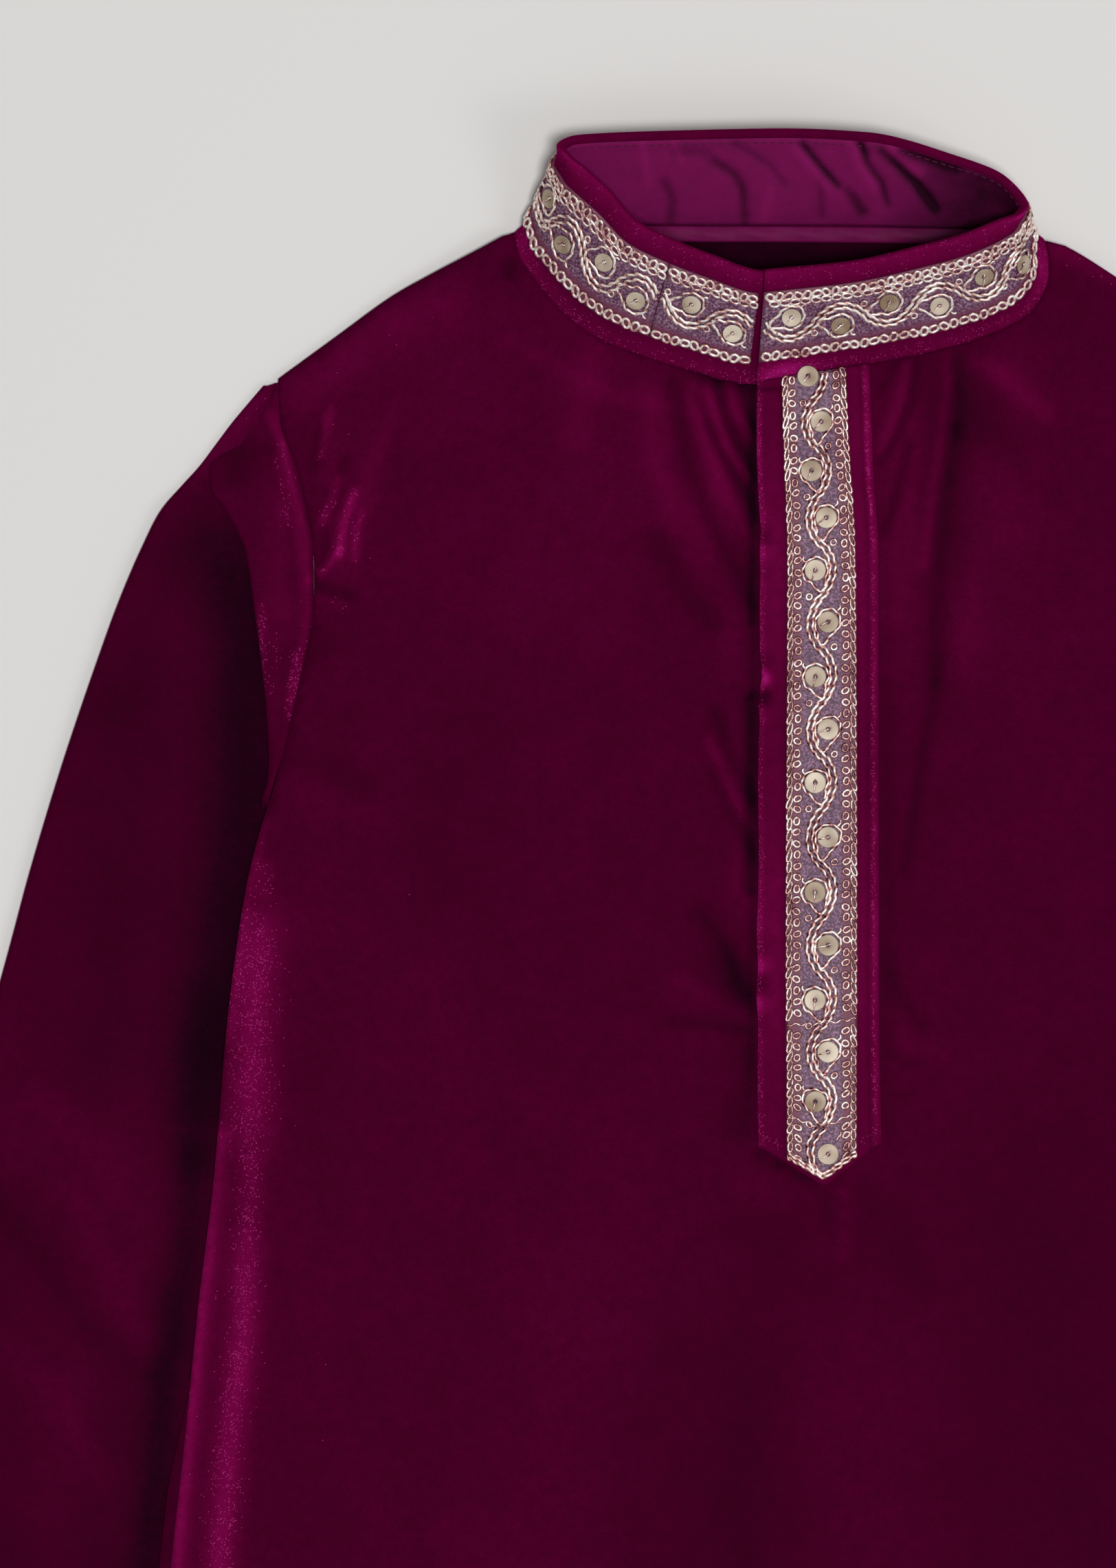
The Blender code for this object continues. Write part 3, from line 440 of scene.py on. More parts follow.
# Finer creases that gather at the left armhole
ARMHOLE_CREASES = creased(
    (1.3, 0.5, -136.6, -50, -138.2, -57, -139.4, -64), (1.4, 0.6, -134.4, -70, -136, -76, -139.4, -83),
    (1.5, 0.7, -129.6, -74, -132.6, -82, -134.4, -92), (1.3, 0.6, -133.4, -91, -137, -95, -140.6, -99),
    (1.4, 0.5, -127.4, -80, -129.4, -86, -129.8, -94), (1.4, -0.6, -138.2, -86, -138.6, -92, -139.8, -97),
    (1.6, -0.5, -132.6, -64, -134.4, -72, -136.8, -79),
    (1.5, -0.5, -140.8, -101.8, -136, -104, -130.8, -104.6),
    (1.7, -0.45, -141.4, -121, -135.6, -118), (2.4, -0.5, -139, -56, -142, -68),
    (3, 0.35, -118, -50, -124, -66, -128, -78), (4, -0.3, -147, -150, -140, -153, -126, -160),
    (5, 0.2, -150, -160, -138, -166, -120, -170))

# Creases that fall from the collar and gather beside the flap
COLLAR_CREASES = creased(
    (2.5, -0.65, -37.7, -43, -33, -64.8, -27.6, -80.3, -19.8, -96, -14.3, -108),
    (2.2, 0.6, -31.4, -41, -29.1, -55.4, -22.1, -74.1, -14.3, -89.7),
    (1.6, -1, -24.6, -40, -23, -51, -19.8, -58.2, -15.8, -64.6, -13.2, -70),
    (1.7, -0.85, -30.5, -46, -25, -59.8, -21, -67, -15.8, -75, -12.8, -82),
    (1.5, 0.7, -27.4, -44, -21.4, -61.4, -16, -70), (1.5, 0.6, -21.4, -42, -18.6, -52, -15, -59),
    (1.2, -0.8, -18.2, -41.5, -15.4, -51, -13, -57.5), (3.2, -0.5, -42.3, -88, -34.6, -102, -25, -113),
    (4.2, 0.45, -44, -44, -42, -66, -36, -84), (2.6, -0.7, 45.4, -35, 45.9, -46.7, 45.6, -58),
    (2.4, -0.55, 45, -56, 43.8, -66, 42, -78, 40.4, -92, 39, -109, 38.6, -130),
    (1.6, -0.75, 33.5, -36, 32.1, -47.4, 28, -57.8, 23.4, -65), (1.8, -0.7, 31.4, -60, 28, -73.7, 24.2, -86),
    (1.3, -0.6, 28, -36, 22.6, -46),
    (1.8, 0.7, 42.4, -34, 42.6, -42, 41.6, -52, 39.7, -66, 37.7, -80, 35.6, -96),
    (1.7, 0.6, 31.4, -37, 27.3, -51.6, 22.8, -63), (2, -0.6, 40.6, -122, 36, -147, 30, -185),
    (5, -0.35, 48, -44, 55, -54, 64, -64), (3.2, 0.5, 50, -36, 58, -40, 72, -52),
    (5.5, 0.5, 50, -66, 50, -90, 47, -126), (2.2, -0.8, -84, -6.5, -85.4, -12), (5, 0.4, -60, -33, -66, -60))
FLAP_CREASES = creased(
    (2.2, -0.8, -25, -138, -19.5, -153, -13.6, -164), (2.2, -0.6, -26, -154, -20, -168, -13.6, -180),
    (1.8, 0.5, -27, -146, -22, -160, -14, -172), (2.8, -0.75, -30, -196, -21, -208, -14.4, -225),
    (2.4, 0.35, -36, -216, -26, -221, -14.4, -227), (2.2, -0.5, -40, -228, -27, -229, -15, -231),
    (2, -0.5, -15.6, -236, -17, -262), (2, -0.5, 25.6, -212, 29, -222, 36, -230),
    (2.4, 0.25, 25.6, -226, 31, -234, 42, -238), (1.3, 0.4, 12.2, -277, 12, -286, 12.4, -297),
    (2.2, -0.4, 7.4, -278, 8, -290), (5, -0.25, 17.8, -277, 27, -290, 37, -307),
    (1.4, -0.35, 26, -238, 34, -241), (1.5, -0.3, 26, -248, 33, -250))

# Soft creases of the sleeve's upper layer, left half
SLEEVE_FOLDS = creased(
    (4.2, -0.55, -236, -280, -221.2, -294.8, -207.4, -318.5, -190, -330),
    (4.5, 0.55, -213.3, -277, -199, -306, -191, -324), (5.5, 0.7, -233, -321, -217.2, -338, -202, -362),
    (3.4, -0.3, -190, -300, -184, -316, -182, -324), (9, 0.5, -204, -150, -214, -230),
    (7, -0.5, -190, -96, -196, -140), (9, -0.7, -240, -370, -220, -400), (5, 0.4, -178, -62, -184, -84),
    (6, 0.45, -222, -250, -206, -268, -194, -282))

# How the nap lies on the left half of the body, on the sleeve and on the middle of the front, with painted
# shade, painted sheen and painted glints of the pile
# Painted sheen and painted glints along the body's side, where the velvet rolls over its edge
SIDE_PAINTED_SHEEN = laid(
    (7.2, 0.31, 0.8, -157, -200, -158.6, -216, -159.4, -240, -160, -262),
    (3.4, 0.14, 0.6, -156, -182, -156.6, -192), (4, 0.22, 0.7, -159.6, -268, -160.6, -290),
    (5, 0.33, 0.8, -161.2, -294, -162.2, -320, -166, -350, -170, -400),
    (6, 0.25, 0.7, -170, -400, -176, -450, -188, -560),
    (3.6, 0.36, 0.1, -169.6, -262, -173.4, -300, -178, -345, -183, -395, -190, -470, -203, -610),
    (4, 0, 0.16, -139.5, -320, -138.6, -352), (5, 0, 0.1, -116, -180, -108, -190),
    (2.2, 0.16, 0.2, -157, -172, -161.6, -192, -167, -232))
# Painted highlights and painted glints on the ridges of the armhole's creases, painted shade in one trough,
# and broad streaks where the nap lies another way
ARMHOLE_NAP_AND_SHADING = laid(
    (1.2, 0.12, 0.5, -136.6, -50, -138.2, -57, -139.4, -64),
    (1.1, 0.14, 0.6, -134.4, -70, -136, -76, -139.4, -83),
    (1.2, 0.14, 0.6, -129.6, -74, -132.6, -82, -134.4, -92),
    (1.1, 0.12, 0.5, -127.4, -80, -129.4, -86, -129.8, -94),
    (1.2, 0.12, 0.5, -133.4, -91, -137, -95, -140.6, -99), (2.4, -0.1, 0, -142, -100, -130, -105),
    (12, 0.03, 0.03, -128, -44, -132, -70, -126, -100), (7, 0.12, 0.04, -100, -18, -122, -28, -146, -46),
    (3, 0.02, 0.08, -118, -24, -112, -60), (2.5, 0.06, 0.4, -139.6, -104, -132, -108))
# Painted shadows beside the flap's free edge, under the collar's lapped end and under the flap's lower edge,
# and broad streaks where the nap lies another way
MIDDLE_NAP_AND_SHADE = laid(
    (1.5, -0.3, 0, -14, -44, -14, -112), (2.2, -0.34, 0, -14.4, -134, -14.4, -190),
    (1.1, -0.16, 0, -14, -112, -14, -134), (1.2, -0.14, 0, -14.2, -190, -14.2, -262),
    (5.5, 0.05, 0, 31, -56, 31, -124), (2.4, -0.08, 0, 25, -130, 25, -260), (4, 0.07, 0, -22, -60, -20, -128),
    (2.6, -0.24, 0, -31, -40, -13, -43), (9, -0.04, 0, 52, -50, 62, -60),
    (3.6, 0.16, 0.2, 73, -3, 81, -6, 94, -13), (12, 0.02, 0, 62, -80, 64, -130),
    (26, 0.05, 0, -50, -40, -70, -110), (20, 0.05, 0, -60, -20, -110, -40),
    (6, -0.12, 0, -24, -208, -18, -222),
    (90, -0.07, 0, 0, -330, 0, -600), (1.6, -0.22, 0, -12, -267, -3, -271, 5, -275),
    (3.5, -0.08, 0, -21, -250, -20, -262), (5, 0.04, 0, -20, -277, -4, -279),
    (9, -0.035, 0, -21, -288, 0, -292), (9, -0.045, 0, -16, -325, -17, -390),
    (22, -0.03, 0, -90, -130, -100, -200), (3, 0.06, 0.05, -84, -30, -56, -46, -20, -52))
# Painted shade on the sleeve where it lies beside and under the body's edge, and along its folds
SLEEVE_PAINTED_SHADE = laid(
    (5.5, 0.12, 0.15, -158, -44, -166, -55, -175, -68),
    (14, -0.33, 0, -168, -90, -160, -118, -162, -170, -168, -215, -174, -252),
    (7, -0.1, 0, -172, -220, -177, -270),
    (6.5, -0.28, 0, -177, -268, -178, -292, -184, -330, -188, -372, -196, -430, -207, -470),
    (12, -0.1, 0, -198, -340, -206, -420), (7, -0.06, 0, -176, -70, -184, -96),
    (6, -0.05, 0, -236, -280, -221.2, -294.8, -207.4, -318.5, -190, -330),
    (17, -0.13, 0, -198, -130, -206, -240), (18, -0.06, 0, -225, -280, -240, -380))
# Painted highlights and painted glints on the ridge of the sleeve cap beside the armhole seam, and a little
# painted shade beyond it
CAP_PAINTED_SHADING = laid(
    (1.8, 0.24, 0.12, -154, -52, -150, -62, -145.4, -84, -143.6, -100),
    (1.6, 0.16, 0.35, -143.6, -100, -144.4, -118, -148, -134),
    (1.5, 0.16, 0.9, -156.5, -108, -157.4, -122, -157, -140), (2.5, 0.04, 0.5, -153, -116, -154.4, -132),
    (1.4, 0.1, 0.7, -151, -60, -150, -84), (1.4, 0.1, 0.8, -146.6, -120, -149, -140),
    (4, 0.12, 0.3, -151, -46, -146, -52), (5, -0.12, 0, -163, -60, -165, -72),
    (4.5, 0.08, 0, -153, -78, -151, -114))
# Painted shade inside the neck, together with the darker wrong side of the back that shows there
NECK_WRONG_SIDE_AND_SHADE = laid((26, -0.36, 0, -60, -14, 54, -16))

# Creases of the satin inside the collar
LINING_CREASES = creased(
    (1.1, -1.2, 0, 26.4, 5.4, 20, 10.8, 14.2), (1.3, 0.5, -2, 25, 3, 19, 7.6, 13.6),
    (1.4, -0.8, -25.6, 21.6, -19.4, 17.6, -17, 13.6, -16.2, 4),
    (1, -0.5, -19.4, 26.6, -13.8, 23.2, -9, 20, -4.6, 14.8), (1.5, -0.6, -40, 16, -37.4, 10.4, -37.8, 4),
    (0.9, 0.4, -46.4, 27, -44.4, 14), (0.9, 0.35, -37, 27, -34.8, 21), (1.8, -0.4, -37, 24, -27, 24),
    (1.2, -0.5, 5.4, 16, 6.2, 5.6), (1.3, -0.7, 13, 13.4, 17.6, 6), (1.2, -0.5, 15.6, 27.6, 19.2, 23),
    (1.3, 0.5, 14.2, 26, 16.4, 20, 21, 13), (1.1, -0.9, 17, 27.4, 18.8, 21, 23.2, 15.4, 25.2, 9),
    (1.5, -1.3, 23.2, 24.2, 28.2, 19.8, 33.4, 14.8, 39, 7.8), (2, 0.6, 25, 24.8, 34.4, 17.8),
    (2, -0.8, 29, 24.6, 38.4, 21.6, 45, 19.6), (1.1, -0.5, 15.2, 12.2, 19.2, 6.6),
    (1.6, 0.35, -9, 14, -11, 5))


class Lay:
    """The lie of the garment: where each layer is, seen from above, and how high."""

    def __init__(self) -> None:
        """Trace the two stretches of the collar seam, on the front and on the back."""
        self.front_seam = np.vstack([self.seam_line(1, 8, 28), self.seam_line(16, 22, 24)])
        self.back_seam = self.seam_line(8, 16, 24)

    def seam_line(self, first: float, last: float, count: int) -> Array:
        """Points of the collar seam between two stations."""
        stations = np.linspace(first, last, count + 1)
        return np.column_stack([COLLAR.at(stations, "seam_x"), COLLAR.at(stations, "seam_y")])

    def settle(self, x: Numbers, y: Numbers) -> Array:
        """Y of a point where it really lies: the right shoulder has dropped a little."""
        return y - RIGHT_DROP * np.maximum(x, 0.0) * ramp(y, *DROP_SPAN)

    def unsettle(self, x: Numbers, y: Numbers) -> Array:
        """Y in the even lay of a point of the garment as it lies.

        Args:
            x: places across the lay.
            y: places along the lay, as the garment lies.

        Returns:
            Y in the even lay.
        """
        even = y
        for _ in range(4):
            even = y + (even - self.settle(x, even))
        return even

    def half_width(self, y: Numbers) -> Array:
        """Distance from the middle to the edge of a body panel."""
        return np.where(np.asarray(y) > ARMPIT_Y, ARMHOLE.at(y, "x"), SIDE.at(y, "x"))

    def over_sleeve(self, x: Numbers, y: Numbers) -> Array:
        """How far the body is lifted by the sleeve below it, from 0 to 1.

        Args:
            x: places across the lay.
            y: places along the lay.

        Returns:
            The share of the lift at each place.
        """
        inner = UNDERARM.at(np.minimum(y, UNDERARM_LOW_Y), "x")
        inner = inner + HIDDEN_SPREAD * ramp(y, UNDERARM_LOW_Y, ARMPIT_Y)
        far, near = LIFT_REACH
        across = smooth((np.abs(x) - inner + far) / (far - near))
        return across * ramp(y, *LIFT_TOP) * ramp(y, *LIFT_END)

    def over_tuck(self, x: Numbers, y: Numbers) -> Array:
        """How far the front is lifted by the tuck of the sleeve at its armhole, from 0 to 1.

        Args:
            x: places across the lay.
            y: places along the lay.

        Returns:
            The share of the lift at each place.
        """
        far, near = TUCK_REACH
        across = smooth((np.abs(x) - self.half_width(y) + far) / (far - near))
        return across * ramp(y, *TUCK_TOP) * ramp(y, *TUCK_END)

    def near_seam(self, seam: Array, x: Numbers, y: Numbers, reach: float) -> Array:
        """How close places are to a stretch of the collar seam, from 0 far off to 1 on it.

        Args:
            seam: points of the stretch.
            x: places across the lay.
            y: places along the lay.
            reach: distance in which the closeness falls off.

        Returns:
            The closeness at each place.
        """
        x, y = np.atleast_1d(x), np.atleast_1d(y)
        away = np.hypot(x[:, None] - seam[None, :, 0], y[:, None] - seam[None, :, 1]).min(axis=1)
        return bell(away, reach)

    def back_height(self, x: Numbers, y: Numbers) -> Array:
        """Middle height of the back panel.

        Args:
            x: places across the lay.
            y: places along the lay.

        Returns:
            The height at each place, in millimetres.
        """
        even = self.unsettle(x, y)
        height = LEVEL[0] + (LEVEL[2] - LEVEL[0]) * self.over_sleeve(x, even)
        return height + (BACK_NECK_Z - height) * self.near_seam(self.back_seam, x, y, BACK_NECK_REACH)

    def front_height(self, x: Numbers, y: Numbers) -> Array:
        """Middle height of the front panel and of what lies beside it at its own level.

        Args:
            x: places across the lay.
            y: places along the lay.

        Returns:
            The height at each place, in millimetres.
        """
        x, y = np.atleast_1d(x), np.atleast_1d(y)
        even = self.unsettle(x, y)
        inside = smooth((self.half_width(even) - np.abs(x)) / PUFF_EDGE_EASE)
        below = smooth((SHOULDER.at(np.abs(x), "y") - even) / PUFF_SHOULDER_EASE)
        below = np.where(np.abs(x) > SHOULDER_FROM_X, below, 1.0)
        puff = FRONT_PUFF * inside * below * smooth((even - HEM_Y) / PUFF_HEM_EASE)
        lift = np.maximum(self.over_sleeve(x, even), self.over_tuck(x, even))
        height = LEVEL[1] + (LEVEL[3] - LEVEL[1]) * lift + puff
        beside = np.where(even > FLAT_TO_Y, ramp(np.abs(x - FLAP_MIDDLE_X), *FLAT_BESIDE_FLAP), 1.0)
        height = height + summed(FRONT_FOLDS, x, y) * inside * beside
        near = self.near_seam(self.front_seam, x, y, FRONT_NECK_REACH)
        return height + (NECK_HEIGHT.at(x, "z") - height) * near

    def below_flap(self, y: Numbers) -> Array:
        """How far the left front lies a layer lower, from 0 below the placket's cut to 1 along it."""
        return ramp(y, *LOWER_FRONT_DOWN)

    def panel_height(self, x: Numbers, y: Numbers) -> Array:
        """Front panel: its left part lies one layer lower below the placket.

        Args:
            x: places across the lay.
            y: places along the lay.

        Returns:
            The height at each place, in millimetres.
        """
        x, y = np.atleast_1d(x), np.atleast_1d(y)
        lower = np.where(x >= PLACKET_SLIT_X, 0.0, ramp(x, *LOWER_FRONT_ACROSS))
        return self.front_height(x, y) - PITCH * lower * self.below_flap(y)


LAY = Lay()


def to_model(x: Numbers, y: Numbers, z: Numbers) -> Array:
    """Places of the lay, in millimetres, as points of the model, one row each."""
    x, y, z = np.broadcast_arrays(x, y, z)
    return np.column_stack([x.ravel(), y.ravel() - ORIGIN_Y, z.ravel()]) * MM


def along_line(points: Array, lengths: Array, places: Array) -> Array:
    """Points of a line at some distances from its start."""
    return np.column_stack([np.interp(places, lengths, column) for column in points.T])


def resample(points: Array, step: float) -> Array:
    """A line of points in even steps of about one length, both ends included."""
    lengths = run_lengths(points)
    return along_line(points, lengths, np.linspace(0, lengths[-1], max(1, round(lengths[-1] / step)) + 1))


def offset_line(points: Array, distance: float) -> Array:
    """A line of plan points moved sideways, to the left of its run.

    Args:
        points: the line.
        distance: how far it moves.

    Returns:
        The moved line.
    """
    run = np.gradient(points, axis=0)
    run /= np.linalg.norm(run, axis=1)[:, None]
    return points + np.column_stack([-run[:, 1], run[:, 0]]) * distance


def grid_faces(rows: int, columns: int, closed: bool = False) -> Array:
    """Faces of a grid of points stored row by row; closed joins its last column to its first.

    Args:
        rows: rows of the grid.
        columns: points in a row.
        closed: whether the last column joins the first.

    Returns:
        Four corners for each face.
    """
    row, column = np.meshgrid(np.arange(rows - 1), np.arange(columns - (0 if closed else 1)), indexing="ij")
    first = (row * columns + column).ravel()
    second = (row * columns + (column + 1) % columns).ravel()
    return np.column_stack([first, second, second + columns, first + columns])


@dataclass
class Mesh:
    """A surface: its points in metres, its faces, and named numbers carried by its points."""

    vertices: Array
    faces: Array
    marks: dict[str, Array] = field(default_factory=dict)

    def spans(self, corner: int) -> Array:
        """Twice the area and the way of the triangle that starts at each face's first corner."""
        first, second, third = [self.vertices[self.faces[:, turn]] for turn in (0, corner, corner + 1)]
        return np.cross(second - first, third - first)

    def turned(self) -> "Mesh":
        """The surface with its faces turned over."""
        return Mesh(self.vertices, self.faces[:, ::-1], self.marks)

    def facing_up(self) -> "Mesh":
        """The surface with its faces turned so that they look up on the whole."""
        return self if self.spans(1)[:, 2].sum() > 0 else self.turned()

    def area(self) -> float:
        """Area in square metres."""
        return float(sum(np.linalg.norm(self.spans(corner), axis=1).sum() / 2
                         for corner in range(1, self.faces.shape[1] - 1)))


class Slot(Enum):
    """Names of the material slots."""

    VELVET = "velvet"
    LINING = "lining_satin"
    BORDER = "border_tissue"


@dataclass
class Maker:
    """Turns meshes into pieces of the model, rides them on the garment and reports them."""

    pieces: list[bpy.types.Object] = field(default_factory=list)

    def piece(self, name: str, mesh: Mesh, material: Material, slot: Slot,
              nodes: Sequence[str] = (), thickness: float = 0.0) -> bpy.types.Object:
        """Make one piece.

        Args:
            name: the piece's name.
            mesh: its surface.
            material: its finish.
            slot: not used.
            nodes: the frame's nodes that it stands for.
            thickness: of its cloth, in millimetres, about the surface.

        Returns:
            The new object.
        """
        data = bpy.data.meshes.new(name)
        data.from_pydata(mesh.vertices.tolist(), [], mesh.faces.tolist())
        data.update()
        for key, values in mesh.marks.items():
            layer = data.attributes.new(key, "FLOAT", "POINT")
            layer.data.foreach_set("value", np.asarray(values, dtype=np.float32).ravel())
        data.shade_smooth()
        data.materials.append(material)
        piece = bpy.data.objects.new(name, data)
        bpy.context.scene.collection.objects.link(piece)
        if thickness:
            solid = piece.modifiers.new("Cloth thickness", "SOLIDIFY")
            solid.thickness = thickness * MM
            solid.offset = 0.0
            solid.use_even_offset = False
        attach(piece, "root")
        if nodes:
            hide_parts(*nodes)
        self.pieces.append(piece)
        LOG.info("%s: %d faces", name, len(mesh.faces))
        return piece

    def cloth(self, name: str, mesh: Mesh, material: Material, slot: Slot, node: str, thickness: float,
              cut: Size, rests_on: Sequence[str], sewn: Callable[[], list[bpy.types.Object]] = list) -> None:
        """Args:
            name: the piece's name.
            mesh: its surface.
            material: its finish.
            slot: not used.
            node: the frame's node that it stands for.
            thickness: of the cloth, in millimetres.
            cut: width and length of the flat cut, in millimetres.
            rests_on: not used.
            sewn: makes what is sewn on it.
        """
        piece = self.piece(name, mesh, material, slot, [node], thickness)
        width, length = cut[0] * MM, cut[1] * MM
        min(mesh.area(), width * length)
        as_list(sewn())


@dataclass
class Outline:
    """The plan outline of a body panel."""

    neck_x: Pair
    hem_y: float
    slit_show: float
    steps: tuple[float, float, float]
    counts: tuple[int, int, int] = (60, 90, 240)

    def half(self, neck_x: float) -> Array:
        """One half from the neck point by the shoulder, the armhole and the side to the hem.

        Args:
            neck_x: distance of the neck point from the middle.

        Returns:
            The points from the top down.
        """
        across = np.linspace(neck_x, SHOULDER_END[0], self.counts[0])
        shoulder = np.column_stack([across, SHOULDER.at(across, "y")])
        down = np.linspace(SHOULDER_END[1], ARMPIT_Y, self.counts[1])
        armhole = np.column_stack([ARMHOLE.at(down, "x") - SEAM / 2, down])
        low = np.linspace(ARMPIT_Y, self.hem_y, self.counts[2])
        spread = self.slit_show * smooth((SLIT_TOP_Y - low) / SLIT_OPENING_RUN)
        side = np.column_stack([SIDE.at(low, "x") + spread, low])
        parts = [resample(part, step) for part, step in zip((shoulder, armhole, side), self.steps)]
        return np.vstack([parts[0][:-1], parts[1][:-1], parts[2]])

    def sides(self) -> tuple[Array, Array]:
        """The left and the right half as they lie.

        Returns:
            Both lines, each from the neck down.
        """
        left, right = self.half(self.neck_x[0]), self.half(self.neck_x[1])
        left = np.column_stack([-left[:, 0], left[:, 1]])
        return left, np.column_stack([right[:, 0], LAY.settle(right[:, 0], right[:, 1])])

    def closed(self, neck: Array) -> Array:
        """The whole outline, closed by a neck line that runs from left to right.

        Args:
            neck: the neck line.

        Returns:
            The points all round.
        """
        left, right = self.sides()
        count = round((right[-1, 0] - left[-1, 0]) / self.steps[2])
        hem_x = np.linspace(left[-1, 0], right[-1, 0], count)[1:-1]
        hem = np.column_stack([hem_x, np.full(len(hem_x), self.hem_y)])
        return np.vstack([left[1:], hem, right[:0:-1], neck[::-1]])


@dataclass
class PanelCut:
    """Fills a panel's outline with even small triangles, finer where creases gather."""

    outline: Array
    spacing: float
    fine_boxes: Sequence[tuple[float, float, float, float]]
    fine: float
    clear_of_edge: float = 0.6
    weld: float = 1e-5

    def inside(self, points: Array) -> Array:
        """Which points are inside the outline.

        Args:
            points: places of the plan.

        Returns:
            True for each one inside.
        """
        x, y = points[:, 0], points[:, 1]
        result = np.zeros(len(points), dtype=bool)
        for (x0, y0), (x1, y1) in zip(self.outline, np.roll(self.outline, -1, axis=0)):
            if y0 == y1:
                continue
            crosses = ((y0 > y) != (y1 > y)) & (x < (x1 - x0) * (y - y0) / (y1 - y0) + x0)
            result ^= crosses
        return result

    def edge_distance(self, points: Array) -> Array:
        """Distance of points to the nearest of the outline's points.

        Args:
            points: places of the plan.

        Returns:
            The distances.
        """
        nearest = np.full(len(points), FAR)
        for x, y in resample(np.vstack([self.outline, self.outline[:1]]), self.fine):
            nearest = np.minimum(nearest, (points[:, 0] - x) ** 2 + (points[:, 1] - y) ** 2)
        return np.sqrt(nearest)

    def rows(self, step: float, fine: bool) -> Array:
        """Rows of points, every other one moved half a step, in the fine boxes or outside them.

        Args:
            step: distance between points.
            fine: whether the fine boxes are filled.

        Returns:
            The points.
        """
        low, high = self.outline.min(axis=0), self.outline.max(axis=0)
        pitch = step * math.sqrt(3) / 2
        row, column = np.meshgrid(
            np.arange(int((high[1] - low[1]) / pitch) + 1), np.arange(int((high[0] - low[0]) / step) + 1),
            indexing="ij")
        x = (low[0] + (column + 0.5 * (row % 2)) * step).ravel()
        y = (high[1] - row * pitch).ravel()
        boxed = np.zeros(len(x), dtype=bool)
        for left, right, bottom, top in self.fine_boxes:
            boxed |= (x > left) & (x < right) & (y > bottom) & (y < top)
        points = np.column_stack([x, y])[boxed == fine]
        points = points[self.inside(points)]
        return points[self.edge_distance(points) > self.clear_of_edge * step]

    def fill(self) -> tuple[Array, Array]:
        """Plan points and triangles of the panel.

        Returns:
            The points, and three of them for each triangle.
        """
        plan = np.vstack([self.outline, self.rows(self.spacing, False), self.rows(self.fine, True)])
        count = len(self.outline)
        border = [(turn, (turn + 1) % count) for turn in range(count)]
        places = [Vector(place) for place in plan.tolist()]
        points, _, faces, _, _, _ = delaunay_2d_cdt(places, border, [], 1, self.weld)
        return np.array([tuple(point) for point in points]), np.array([tuple(face) for face in faces])


def nap_and_shading_marks(lies: Sequence[NapAndShadingRun], creases: Sequence[Crease], x: Array, y: Array) -> dict[str, Array]:
    """The nap's tone with its painted shading, and the painted glints of its pile, at places of the lay.

    Args:
        lies: runs where the nap lies another way, and runs of painted shade, painted sheen and painted
            glints.
        creases: ridges, painted lighter, and troughs, painted darker.
        x: places across the lay.
        y: places along the lay.

    Returns:
        The two named numbers that the velvet's finish reads.
    """
    tone, glitter = CREASE_TONE * summed(creases, x, y), np.zeros(len(x))
    for lie in lies:
        more_tone, more_glitter = lie.at(x, y)
        tone += more_tone
        glitter += more_glitter
    return {"nap_tone": tone, "nap_glitter": np.clip(glitter, 0, 1)}


def both_halves(items: Sequence[Any]) -> list[Any]:
    """Creases or lies of the left half, and like ones on the right half."""
    return list(items) + [item.mirrored(turn) for turn, item in enumerate(items)]


def slow_waves(x: Array, y: Array, height: float) -> Array:
    """The gentle unevenness of cloth that lies flat, in waves whose runs are in millimetres."""
    long_wave = np.sin(x / 23 + 1.1 * np.sin(y / 61)) * np.sin(y / 37 + 0.4)
    return height * (long_wave + 0.6 * np.sin(x / 11 - y / 29))


